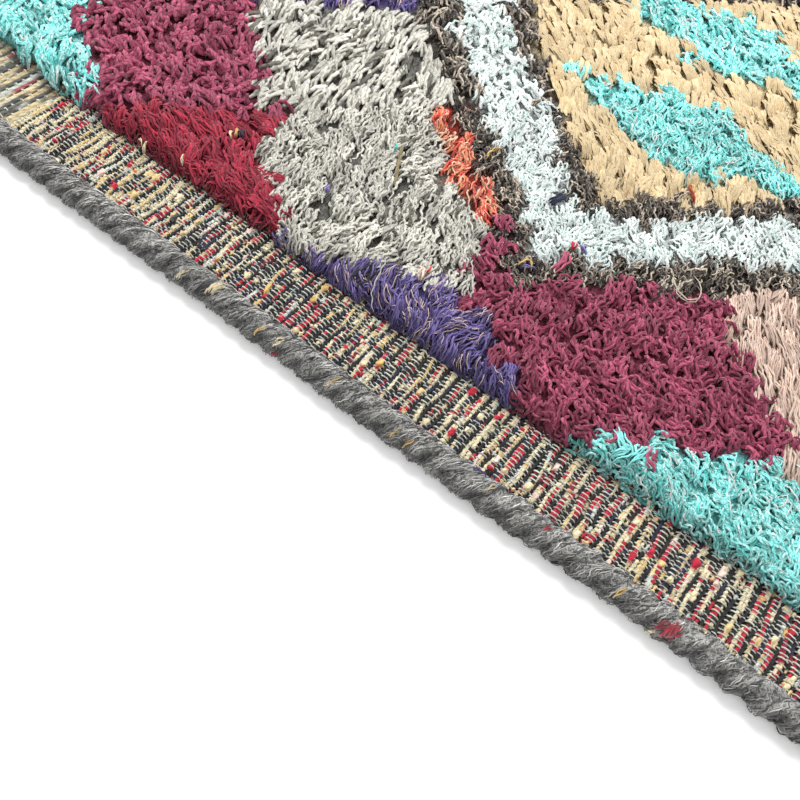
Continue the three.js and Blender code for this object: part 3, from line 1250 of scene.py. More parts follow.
        # The lock's brightness: tone that strays at random, and painted shade near the front rim.
        dyes[:, :3] *= own["bright"]
        if yarn.flecks:
            dyes[flecked] = dyed(rng, int(flecked.sum()), yarn.flecks, yarn.spread)
            dyes[flecked, 3] += 2.0
        px, py = self._held(px, PILE_HALF_LENGTH + 2.0), self._held(py, PILE_HALF_DEPTH + 1.0)
        inside = np.minimum(PILE_HALF_LENGTH - np.abs(px), PILE_HALF_DEPTH - np.abs(py))
        pz = pz - self._near(inside, 4.0) * rng.uniform(0.0, 5.0, (count, 1))
        paths = np.stack([px, py, np.maximum(pz, CLOTH_TOP + self.least_height)], axis=-1)
        # Painted shade: strands within 8 mm of the rim are darkened, the more the lower they lie.
        low = self._near(inside, 8.0) * (1.0 - np.clip((pz - 3.5) / 6.5, 0.0, 1.0))
        dyes = np.repeat(dyes[:, None, :], px.shape[1], axis=1)
        dyes[..., :3] *= (1.0 - 0.6 * low)[..., None]
        tubes.add(paths, radii, dyes, yarn.sides, yarn.flatness, lying=True)

    def _plan(
            self, rng: np.random.Generator, yarn: Yarn, own: dict[str, Array],
            shares: tuple[Array, Array], width: float) -> tuple[Array, Array, Array]:
        """Bends strands as they are seen from above: waved with their lock, curled and splayed apart.

        Args:
            rng: the source of chance.
            yarn: their yarn.
            own: what each strand has of its lock, and its side of it.
            shares: how far along its strand each point is, and how much it still climbs there.
            width: how much wider than the yarn they are made.

        Returns:
            The points' places along and across the rug, and how far a wave lifts each.
        """
        share, rise = shares
        count = len(own["x"])
        length = own["length"] * rng.uniform(0.8, 1.08, count)[:, None] * (1.0 - 0.12 * own["side"] ** 2)
        run = length * share
        phase = own["phase"] + rng.normal(0.0, 0.7, count)[:, None]
        sway = np.radians(yarn.wave) * np.sin(TAU * run / yarn.wave_run + phase)
        curl = np.radians(yarn.curl) * rng.normal(0.0, 1.0, count)[:, None] * (run - 0.4 * length)
        heading = own["heading"] + np.radians(yarn.splay) * rng.normal(0.0, 0.8, count)[:, None]
        turn = heading + sway + curl
        middle = (turn[:, 1:] + turn[:, :-1]) / 2
        steep = np.sqrt(1.0 - (0.9 * (rise[:, 1:] + rise[:, :-1]) / 2) ** 2)
        advance = np.diff(run, axis=1) * steep
        fan = own["side"] * self.tuft_spread * width ** 0.4 * (1.0 - yarn.gather * share)
        back = rng.uniform(-2.6, 2.6, count)[:, None]
        start = np.zeros((count, 1))
        cos, sin = np.cos(own["heading"]), np.sin(own["heading"])
        px = np.concatenate([start, np.cumsum(np.cos(middle) * advance, axis=1)], axis=1)
        py = np.concatenate([start, np.cumsum(np.sin(middle) * advance, axis=1)], axis=1)
        px = px + own["x"] - sin * fan + cos * back
        py = py + own["y"] + cos * fan + sin * back
        return px, py, 0.35 * np.sin(TAU * run / (0.8 * yarn.wave_run) + 2 * phase)

    @staticmethod
    def _near(gap: Array, reach: float) -> Array:
        """How near a rim a place is, by its gap to it: 1 at the rim and 0 from the reach on."""
        return np.clip(1.0 - gap / reach, 0.0, 1.0)

    @staticmethod
    def _held(place: Array, half: float) -> Array:
        """Holds back points of strands that reach past a half size, so that they run along the rim."""
        past = np.abs(place) - half
        return np.where(past > 0.0, np.sign(place) * (half + 0.22 * past), place)

    def _locks(
            self, rng: np.random.Generator, yarn: Yarn, knots: tuple[Array, Array]) -> dict[str, Array]:
        """Draws what the strands of a lock share: which way, how far and how high it lies.

        Args:
            rng: the source of chance.
            yarn: their yarn.
            knots: their places.

        Returns:
            Each lock's place, heading in radians, length, lift, phase and brightness, which strays at random
            and is lowered near the front rim as painted shade.
        """
        x, y = knots
        count = len(x)
        swirl = 0.8 * Field(90, 24.0)(x, y) + 0.7 * Field(91, 10.0)(x, y)
        heading = np.radians(yarn.heading + yarn.tangle * (swirl + 0.45 * rng.normal(0.0, 1.0, count)))
        to_back = self._near(PILE_HALF_DEPTH - y, self.rim_reach)
        to_front = self._near(PILE_HALF_DEPTH + y, self.rim_reach)
        to_left = self._near(PILE_HALF_LENGTH + x, self.rim_reach)
        to_right = self._near(PILE_HALF_LENGTH - x, self.rim_reach)
        east = np.cos(heading) + 1.6 * (to_right - to_left) + 1.3 * to_front
        north = np.sin(heading) * (1.0 - 0.55 * to_front) + 2.2 * to_back
        rim = np.maximum.reduce([to_back, 0.8 * to_front, to_left, to_right])
        # Painted shade: locks within 6 mm of the front rim are darkened, on top of a brightness that strays
        # at random.
        front = self._near(PILE_HALF_DEPTH + y, 6.0)
        return {
            "x": x,
            "y": y,
            "heading": np.arctan2(north, east),
            "length": yarn.length * rng.uniform(0.8, 1.15, count) * (1.0 - 0.38 * rim),
            "lift": yarn.lift * rng.uniform(-1.0, 1.0, count) * (1.0 - 0.5 * rim),
            "phase": rng.random(count) * TAU,
            "bright": (1.0 + 0.13 * rng.normal(0.0, 1.0, count).clip(-1.8, 1.8)) * (1.0 - 0.3 * front),
        }


@dataclass(frozen=True)
class Thread:
    """A stray bit of yarn on the pile, by its places along and across the rug in millimetres."""

    shade: Shade
    width: float
    path: tuple[tuple[float, float], ...]
    count: int = 1
    lift: float = 2.4


THREADS = (
    Thread(Shade.NAVY, 1.5, ((-11.0, -146.0), (-9.0, -141.5), (-8.0, -137.5)), 6),
    Thread(Shade.RUST, 1.1, ((33.5, -87.0), (37.0, -90.5), (41.0, -94.0)), 4, 3.0),
    Thread(Shade.GOLD, 0.9, ((34.5, -86.0), (37.5, -88.0), (38.5, -91.0)), 2, 3.6),
    Thread(Shade.RED, 1.3, ((12.0, -161.0), (13.5, -165.0)), 3),
    Thread(Shade.PURPLE, 1.1, ((16.0, -159.0), (19.5, -162.5)), 3),
    Thread(Shade.PLUM, 1.5, ((13.0, -168.0), (15.5, -174.0), (14.5, -182.0)), 5, 2.6),
    Thread(Shade.GOLD, 0.7, ((1.0, -192.0), (1.5, -187.0), (5.0, -187.5), (6.5, -191.0)), 2),
    Thread(Shade.PURPLE, 0.6, ((3.0, -192.0), (8.0, -188.0)), 2),
    Thread(Shade.OLIVE, 1.5, ((-90.0, -164.0), (-83.0, -176.0), (-75.0, -189.0)), 2, 1.6),
    Thread(Shade.PURPLE, 1.2, ((-96.0, -213.0), (-94.0, -217.5)), 2),
    Thread(Shade.TURQUOISE_DEEP, 0.8, ((-91.0, -168.0), (-88.5, -172.0)), 2),
    Thread(Shade.BLACK, 0.9, ((-50.5, -247.0), (-48.0, -242.0), (-46.0, -236.0)), 10, 1.0),
    Thread(
        Shade.SILVER, 0.7,
        ((-46.8, -228.8), (-42.7, -239.0), (-42.1, -243.3), (-39.6, -250.5), (-34.7, -253.7)), 1, 3.6),
    Thread(Shade.SILVER, 0.7, ((-17.0, -205.0), (-14.0, -210.0), (-9.5, -214.6), (-4.6, -222.8)), 1, 3.6),
    Thread(Shade.SILVER, 1.1, ((-18.0, -223.0), (-17.0, -228.0)), 5),
    Thread(Shade.DUSTY, 1.1, ((-31.0, -224.0), (-29.0, -230.0)), 5),
    Thread(Shade.CORAL, 0.9, ((-29.0, -221.0), (-28.0, -225.0)), 3),
    Thread(
        Shade.CHARCOAL_PALE, 0.55,
        ((57.0, -145.0), (60.0, -150.0), (65.0, -155.0), (70.0, -156.5), (74.5, -153.0), (73.5, -146.0),
         (66.0, -139.0)),
        2, 2.8),
    Thread(Shade.TURQUOISE, 1.0, ((82.0, -236.0), (87.5, -241.0), (91.5, -241.0), (87.0, -247.0)), 6),
    Thread(Shade.TURQUOISE, 0.9, ((100.0, -231.0), (96.0, -238.0), (93.0, -245.0)), 5),
    Thread(Shade.PLUM, 1.5, ((98.0, -234.0), (99.0, -240.0), (103.5, -241.0)), 4),
    Thread(Shade.CREAM, 0.9, ((-181.5, -250.5), (-179.5, -254.0)), 3),
    Thread(Shade.CREAM, 0.8, ((-186.0, -251.0), (-183.0, -252.5)), 2),
    Thread(Shade.CREAM, 0.7, ((-160.5, -246.0), (-158.0, -249.0)), 3),
    Thread(Shade.GOLD, 0.9, ((-153.0, -216.5), (-150.0, -221.0)), 2),
    Thread(Shade.NAVY, 1.0, ((-151.0, -215.0), (-148.0, -219.0)), 3),
    Thread(Shade.CREAM, 0.9, ((-154.0, -220.0), (-151.0, -223.5)), 2),
    Thread(Shade.GOLD, 0.8, ((-53.0, -142.0), (-54.0, -136.0), (-50.0, -130.0)), 2),
    Thread(Shade.PURPLE_DEEP, 0.9, ((46.0, -290.0), (48.0, -287.5), (51.0, -287.5), (53.0, -290.0)), 1, 5.4),
    Thread(Shade.NAVY, 1.5, ((-121.0, -268.0), (-120.0, -272.0), (-119.0, -277.0)), 5, -2.0),
    Thread(Shade.GOLD, 2.6, ((-80.5, -270.5), (-80.0, -274.0), (-79.5, -277.0)), 1, -1.5),
    Thread(Shade.RED, 2.0, ((-79.0, -276.0), (-78.5, -279.0)), 1, -1.6),
    Thread(Shade.GREY_DARK, 2.0, ((-142.0, -269.5), (-141.0, -272.0), (-140.5, -275.0)), 1, -1.5),
)


@dataclass
class Strays:
    """The odd bits of other yarns that were knotted in or left lying on the pile."""

    seed: int = 83
    steps: int = 12

    def build(self) -> bpy.types.Object:
        """Makes the bits as one piece.

        Returns:
            The piece.
        """
        rng = np.random.default_rng(self.seed)
        tubes = Tubes()
        for thread in THREADS:
            self._lay(tubes, rng, thread)
        piece = tubes.build("pile_strays")
        finish = YarnFinish("stray_yarn", fibre=0.5, plies=1.2, root_shade=0.0)
        piece.data.materials.append(finish.material())
        dress(piece, "pile_field")
        return piece

    def _lay(self, tubes: Tubes, rng: np.random.Generator, thread: Thread) -> None:
        """Lays the strands of one bit beside each other along its path.

        Args:
            tubes: the mesh that they go into.
            rng: the source of chance.
            thread: the bit.
        """
        share = np.linspace(0.0, 1.0, self.steps)
        knots = np.linspace(0.0, 1.0, len(thread.path))
        line = np.stack([np.interp(share, knots, column) for column in zip(*thread.path)], axis=-1)
        for _ in range(2):
            line[1:-1] = (line[:-2] + 2.0 * line[1:-1] + line[2:]) / 4.0
        span = float(np.linalg.norm(np.diff(line, axis=0), axis=1).sum())
        ahead = np.gradient(line, axis=0)
        ahead /= np.linalg.norm(ahead, axis=1, keepdims=True)
        beside = np.stack([-ahead[:, 1], ahead[:, 0]], axis=-1)
        phase = rng.random((thread.count, 1)) * TAU
        spread = 0.42 * thread.width * (thread.count - 1)
        aside = rng.uniform(-1.0, 1.0, (thread.count, 1)) * spread
        aside = aside + 0.4 * np.sin(TAU * share[None, :] * span / 6.0 + phase)
        along = 0.12 * span * rng.uniform(-1.0, 1.0, (thread.count, 1)) if thread.count > 1 else 0.0
        px = line[None, :, 0] + beside[None, :, 0] * aside + ahead[None, :, 0] * along
        py = line[None, :, 1] + beside[None, :, 1] * aside + ahead[None, :, 1] * along
        stand = thread.lift * (1.0 - 0.7 * (2.0 * share[None, :] - 1.0) ** 6)
        stand = stand + 0.3 * rng.normal(0.0, 1.0, (thread.count, 1))
        pz = pile_surface(px, py) + stand
        radii = 0.5 * thread.width * np.sqrt(np.clip(1.1 - (2.0 * share - 1.0) ** 4, 0.15, 1.0))
        radii = radii[None, :] * rng.uniform(0.8, 1.2, (thread.count, 1))
        dyes = dyed(rng, thread.count, ((thread.shade, 1.0),), 0.15)
        tubes.add(np.stack([px, py, pz], axis=-1), radii, dyes, 3, lying=True)


@dataclass(frozen=True)
class Stretch:
    """A stretch of the bands, from one place along the rug on, with the shares of its weft colours."""

    start: float
    cream: float
    black: float
    red: float


WEFT_SHADES = (
    Shade.CREAM, Shade.STRAW, Shade.BLACK, Shade.NAVY, Shade.RED, Shade.CRIMSON_DEEP,
    Shade.GOLD, Shade.PALE_GREY, Shade.FLECK)
SLUB_BLEND = (
    (Shade.CREAM, 0.5), (Shade.STRAW, 0.2), (Shade.GOLD, 0.08), (Shade.RED, 0.17), (Shade.FLECK, 0.05))
WARP_BLEND = ((Shade.WARP, 0.9), (Shade.PALE_GREY, 0.1))


@dataclass
class Weave:
    """A rectangle of bare weave: plied slubby wefts along Y, dark ones between, and warps over them."""

    name: str
    low: tuple[float, float]
    high: tuple[float, float]
    seed: int
    fine: bool = True
    strand_radius: float = 0.98
    strand_offset: float = 1.05
    ply_run: float = 46.0
    dark_radius: float = 0.95
    single_radius: float = 1.85
    warp_radius: float = 0.4
    coarse_warps: float = 2.2
    fine_bends: tuple[tuple[float, float], ...] = (
        (-1.85, 0.55), (-1.0, 1.4), (1.0, 1.4), (1.85, 0.55), (2.75, -1.0))
    coarse_bends: tuple[tuple[float, float], ...] = ((-1.5, 0.4), (0.0, 1.7), (1.5, 0.4), (2.75, -1.0))
    base: float = 1.7
    stretches: tuple[Stretch, ...] = (
        Stretch(-450.0, 0.50, 0.22, 0.18), Stretch(-150.0, 0.38, 0.28, 0.25),
        Stretch(-96.0, 0.10, 0.62, 0.22), Stretch(-72.0, 0.22, 0.44, 0.28),
        Stretch(-40.0, 0.34, 0.34, 0.24),
        Stretch(25.0, 0.46, 0.34, 0.09), Stretch(70.0, 0.38, 0.26, 0.28),
        Stretch(210.0, 0.40, 0.28, 0.22))

    def build(self) -> bpy.types.Object:
        """Makes the wefts and warps as one piece.

        Returns:
            The piece.
        """
        rng = np.random.default_rng(self.seed)
        tubes = Tubes()
        wefts = np.arange(
            math.ceil(self.low[0] / WEFT_PITCH), math.floor(self.high[0] / WEFT_PITCH) + 1)
        x = wefts * WEFT_PITCH
        if self.fine:
            self._plied(tubes, rng, x)
        else:
            self._single(tubes, rng, x)
        self._dark(tubes, rng, x + WEFT_PITCH / 2)
        self._warps(tubes, rng, x)
        if self.fine:
            self._ties(tubes, rng, x + WEFT_PITCH / 2)
        piece = tubes.build(self.name)
        finish = YarnFinish(f"{self.name}_yarn", fibre=0.5, plies=1.5, twist=5.0, groove=0.3, root_shade=0.0)
        piece.data.materials.append(finish.material())
        dress(piece, "ground_cloth")
        return piece

    def _level(self, x: Array) -> Array:
        """Finds how high the middle of the cloth is: up on the hems and down at their folds.

        Args:
            x: places along the rug.

        Returns:
            The heights in millimetres.
        """
        from_end = RUG_HALF_LENGTH - np.abs(x)
        hem = np.clip((HEM_WIDTH + 1.0 - from_end) / 3.0, 0.0, 1.0)
        fold = np.clip(1.0 - from_end / 3.0, 0.0, 1.0)
        return self.base + CLOTH_TOP * hem * (3 - 2 * hem) * hem - 3.0 * fold ** 2

    def _rows(self, per_warp: int) -> tuple[Array, Array]:
        """Sets the places along Y where a weft has a point.

        Args:
            per_warp: how many there are from one warp to the next.

        Returns:
            The places, and how far each is from being under a warp, from 0 to 1.
        """
        warps = self._warp_count()
        y = np.linspace(self.low[1], self.high[1], warps * per_warp + 1)
        pitch = (self.high[1] - self.low[1]) / warps
        return y, np.abs(np.cos(math.pi * (y - self.low[1]) / pitch))

    def _warp_count(self) -> int:
        """How many warps the rectangle has."""
        pitch = WARP_PITCH * (1.0 if self.fine else self.coarse_warps)
        return max(2, round((self.high[1] - self.low[1]) / pitch))

    def _wander(self, x: Array, y: Array) -> Array:
        """How far the weave is pushed along the rug at a place."""
        return 1.15 * Field(self.seed + 2, 11.0)(x, y)

    @staticmethod
    def _paths(px: Array, y: Array, pz: Array) -> Array:
        """Joins the places of wefts that have their points at the same places along Y."""
        return np.stack([px, np.broadcast_to(y[None, :], px.shape), pz], axis=-1)

    def _plied(self, tubes: Tubes, rng: np.random.Generator, x: Array) -> None:
        """Adds wefts of three strands that turn slowly round each other, dyed in lengths, with slubs.

        Args:
            tubes: the mesh that they go into.
            rng: the source of chance.
            x: the wefts' places along the rug.
        """
        y, free = self._rows(2)
        each = (len(x), 1, 3)
        centres = rng.uniform(self.low[1], self.high[1], each)
        bulk = rng.uniform(0.2, 1.0, each) * (rng.random(each) < 0.55)
        slubs = bulk * np.exp(-((y[None, :, None] - centres) / rng.uniform(1.0, 2.3, each)) ** 2)
        stout = rng.uniform(0.78, 1.14, (len(x), 1))
        slub_dyes = dyed(rng, len(x), SLUB_BLEND, 0.1)
        for strand in range(3):
            start = rng.random((len(x), 1)) * TAU * 0.25
            turn = strand * TAU / 3 + start + TAU * y[None, :] / self.ply_run
            slub = slubs.sum(axis=2) if strand == 0 else 0.0 * slubs[..., 0]
            radii = self.strand_radius * stout * (0.6 + 0.58 * free[None, :] + 1.05 * slub)
            radii = radii * rng.uniform(0.84, 1.16, (len(x), len(y)))
            px = x[:, None] + self._wander(x[:, None], y[None, :])
            px = px + self.strand_offset * stout * np.cos(turn) * (1.0 - 0.6 * np.minimum(slub, 1.0))
            pz = self._level(x)[:, None] + 0.42 * np.sin(turn) + 0.32 * free[None, :] + 0.95 * slub
            dyes = self._dyes(rng, x, y, False)
            marked = slub > 0.3
            dyes[..., :3] = np.where(marked[..., None], slub_dyes[:, None, :3], dyes[..., :3])
            tubes.add(self._paths(px, y, pz), radii, dyes, 3, 0.95, lying=True)

    def _single(self, tubes: Tubes, rng: np.random.Generator, x: Array) -> None:
        """Adds wefts as one strand each, where they are not seen from near.

        Args:
            tubes: the mesh that they go into.
            rng: the source of chance.
            x: the wefts' places along the rug.
        """
        y, free = self._rows(1)
        slub = np.clip(Field(self.seed + 4, 8.0)(x[:, None] * 3.1, y[None, :]) - 0.4, 0.0, 1.0)
        radii = self.single_radius * (0.92 + 0.08 * free[None, :] + 0.5 * slub)
        radii = radii * rng.uniform(0.9, 1.08, (len(x), 1))
        px = x[:, None] + 0.45 * Field(self.seed + 2, 13.0)(x[:, None], y[None, :])
        pz = np.broadcast_to(self._level(x)[:, None], px.shape)
        tubes.add(self._paths(px, y, pz), radii, self._dyes(rng, x, y, False), 3, 0.72, lying=True)

    def _dark(self, tubes: Tubes, rng: np.random.Generator, x: Array) -> None:
        """Adds the thin dark wefts between, which bead up over each warp.

        Args:
            tubes: the mesh that they go into.
            rng: the source of chance.
            x: the dark wefts' places along the rug.
        """
        y, free = self._rows(2 if self.fine else 1)
        bead = 1.0 - free[None, :] if self.fine else free[None, :]
        radii = self.dark_radius * (0.42 + 0.7 * bead) * rng.uniform(0.75, 1.2, (len(x), len(y)))
        px = x[:, None] + self._wander(x[:, None], y[None, :])
        pz = self._level(x)[:, None] + 0.05 + 0.35 * bead
        sides = 3 if self.fine else 2
        tubes.add(self._paths(px, y, pz), radii, self._dyes(rng, x, y, True), sides, lying=True)

    def _shares(self, place: float, dark: bool) -> Array:
        """Finds how much of a weft has each of the weft shades.

        Args:
            place: the weft's place along the rug.
            dark: whether it is one of the thin dark ones.

        Returns:
            The shares, which add up to 1.
        """
        here = [stretch for stretch in self.stretches if stretch.start <= place][-1]
        if dark:
            black = min(0.22 + 1.6 * here.black, 0.9)
            rest = 1.0 - black
            shares = np.array([
                0.34 * rest, 0.18 * rest, 0.82 * black, 0.18 * black, 0.12 * rest, 0.08 * rest,
                0.06 * rest, 0.2 * rest, 0.02 * rest])
        else:
            rest = 1.0 - here.cream - here.black - here.red
            shares = np.array([
                0.65 * here.cream, 0.35 * here.cream, 0.8 * here.black, 0.2 * here.black,
                0.8 * here.red, 0.2 * here.red, 0.3 * rest, 0.5 * rest, 0.2 * rest])
        return shares / shares.sum()

    def _dyes(self, rng: np.random.Generator, x: Array, y: Array, dark: bool) -> Array:
        """Dyes each weft in lengths.

        Args:
            rng: the source of chance.
            x: the wefts' places.
            y: the places of their points.
            dark: whether they are the thin dark ones.

        Returns:
            The dyes, as weft by point by 4.
        """
        palette = np.array([shade.light() for shade in WEFT_SHADES])
        black, navy = WEFT_SHADES.index(Shade.BLACK), WEFT_SHADES.index(Shade.NAVY)
        dyes = np.zeros((len(x), len(y), 4))
        step = y[1] - y[0]
        for row, place in enumerate(x):
            shares = self._shares(place, dark)
            lead = black if dark else rng.choice(len(palette), p=shares)
            at = 0
            while at < len(y):
                kept = rng.random() < (0.25 if dark else 0.5)
                kind = lead if kept else rng.choice(len(palette), p=shares)
                length = max(2 if self.fine else 1, int(rng.gamma(1.6, 2.8) / step))
                if dark and kind not in (black, navy):
                    length = int(rng.integers(1, 4))
                dyes[row, at:at + length, :3] = palette[kind] * rng.uniform(0.8, 1.12)
                at += length
            dyes[row, :, 3] = rng.random()
        if not self.fine:
            dyes[..., :3] = 0.66 * dyes[..., :3] + 0.34 * (0.42 * Shade.WARP.light())
        return dyes

    def _warps(self, tubes: Tubes, rng: np.random.Generator, x: Array) -> None:
        """Adds the warps, each over the plied wefts and under the dark ones.

        Args:
            tubes: the mesh that they go into.
            rng: the source of chance.
            x: the plied wefts' places along the rug.
        """
        count = self._warp_count()
        y = self.low[1] + (np.arange(count) + 0.5) * (self.high[1] - self.low[1]) / count
        offsets, heights = np.array(self.fine_bends if self.fine else self.coarse_bends).T
        px = np.broadcast_to((x[:, None] + offsets).ravel(), (count, len(x) * len(offsets)))
        rise = np.broadcast_to(np.tile(heights, len(x)), px.shape)
        px = np.clip(px, -RUG_HALF_LENGTH - 0.4, RUG_HALF_LENGTH + 0.4)
        middle = np.repeat(x[None, :], len(offsets), axis=0).T.ravel()
        px = px + self._wander(np.broadcast_to(middle, px.shape), y[:, None] + 0.0 * px)
        knee = rng.uniform(0.5, 1.1, (count, len(x))).repeat(len(offsets), axis=1)
        slip = 0.5 * rng.normal(0.0, 1.0, (count, len(x))).clip(-1.2, 1.2).repeat(len(offsets), axis=1)
        py = y[:, None] + 0.5 * slip + 0.3 * Field(self.seed + 3, 8.0)(px, y[:, None] + 0.0 * px)
        pz = self._level(px) + rise * knee
        radii = np.broadcast_to(self.warp_radius * rng.uniform(0.85, 1.15, (count, 1)), px.shape)
        radii = radii * (1.0 if self.fine else 1.25)
        paths = np.stack([px, py, np.maximum(pz, 0.3)], axis=-1)
        tubes.add(paths, radii, dyed(rng, count, WARP_BLEND, 0.06), 2, lying=True)

    def _ties(self, tubes: Tubes, rng: np.random.Generator, x: Array) -> None:
        """Adds the other half of the warps where they come up over the dark wefts.

        Args:
            tubes: the mesh that they go into.
            rng: the source of chance.
            x: the dark wefts' places.
        """
        count = self._warp_count() - 1
        y = self.low[1] + (np.arange(count) + 1.0) * (self.high[1] - self.low[1]) / (count + 1)
        x, y = (a.ravel() for a in np.meshgrid(x, y))
        kept = rng.random(len(x)) < 0.46 + 0.5 * Field(self.seed + 7, 12.0)(x, y)
        x, y = x[kept, None], y[kept, None]
        middle = x + self._wander(x, y)
        px = middle + np.array([-1.5, 0.0, 1.5]) * rng.uniform(0.8, 1.15, (len(x), 1))
        py = y + 0.3 * rng.normal(0.0, 1.0, (len(x), 1)).clip(-1.5, 1.5) + np.array([0.2, 0.0, -0.2])
        pz = self._level(x) + np.array([0.1, 0.85, 0.1]) * rng.uniform(0.75, 1.2, (len(x), 1))
        radii = self.warp_radius * np.array([0.7, 1.0, 0.7]) * rng.uniform(0.8, 1.1, (len(x), 1))
        dyes = dyed(rng, len(x), WARP_BLEND, 0.1)
        # Painted shade: the ties are dimmed where they lie between the plied wefts.
        dyes[:, :3] *= 0.86
        tubes.add(np.stack([px, py, pz], axis=-1), radii, dyes, 2, lying=True)


@dataclass
class GroundCloth:
    """The ground cloth: one sheet with its ends folded up and over as hems, its sides in the wool."""

    thickness: float = 1.3
    tuck: float = 4.2
    fold_radius: float = 1.6
    clearance: float = 0.15
    columns: int = 110
    rows: int = 22

    def build(self) -> bpy.types.Object:
        """Makes the sheet.

        Returns:
            The piece.
        """
        flat_length = 2 * (RUG_HALF_LENGTH + HEM_WIDTH)
        width = 2 * (RUG_HALF_DEPTH - CORD_WIDTH + self.tuck)
        shape = bmesh.new()
        bmesh.ops.create_grid(shape, x_segments=self.columns, y_segments=self.rows, size=0.5)
        for vert in shape.verts:
            x, z = self._folded(vert.co.x * flat_length)
            side = 1 if vert.co.y > 0 else -1
            stray = float(side_line(np.array(x), side)) * side * abs(vert.co.y) * 2
            vert.co = Vector((x, vert.co.y * width + stray, z)) * MM
        mesh = mesh_of(shape, "ground_cloth_sheet")
        # Painted shade: the top is dark olive and black, as the shade in the gaps of the bands; the
        # underside takes straw and charcoal, dimmed.
        mesh.materials.append(WeaveFinish(
            "ground_weave", tuple(Shade.OLIVE.light() * 0.45), tuple(Shade.BLACK.light()),
            tuple(Shade.STRAW.light() * 0.7), tuple(Shade.CHARCOAL.light() * 0.5)).material())
        piece = linked("ground_cloth_sheet", mesh)
        solid = piece.modifiers.new("thickness", "SOLIDIFY")
        solid.thickness = self.thickness * MM
        solid.offset = 0.0
        dress(piece, "ground_cloth")
        LOG.info("ground_cloth_sheet: %.0f by %.0f mm flat", flat_length, width)
        return piece

    def _folded(self, place: float) -> tuple[float, float]:
        """Finds where a place on the flat cut lies once the hems are folded.

        Args:
            place: how far it is from the middle of the cut, in millimetres.

        Returns:
            Its place along the rug and its height.
        """
        side = 1.0 if place > 0 else -1.0
        level = self.thickness / 2 + self.clearance
        bend = RUG_HALF_LENGTH - self.fold_radius
        past = abs(place) - bend
        if past <= 0:
            return place, level
        angle = past / self.fold_radius
        if angle < math.pi:
            out = bend + self.fold_radius * math.sin(angle)
            return side * out, level + self.fold_radius * (1 - math.cos(angle))
        back = past - math.pi * self.fold_radius
        return side * (bend - back), level + 2 * self.fold_radius


@dataclass(frozen=True)
class Poke:
    """A bit of another yarn caught in the front overcasting, at a place along the rug."""

    x: float
    shade: Shade
    width: float
    start: float = 0.3
    end: float = 0.7


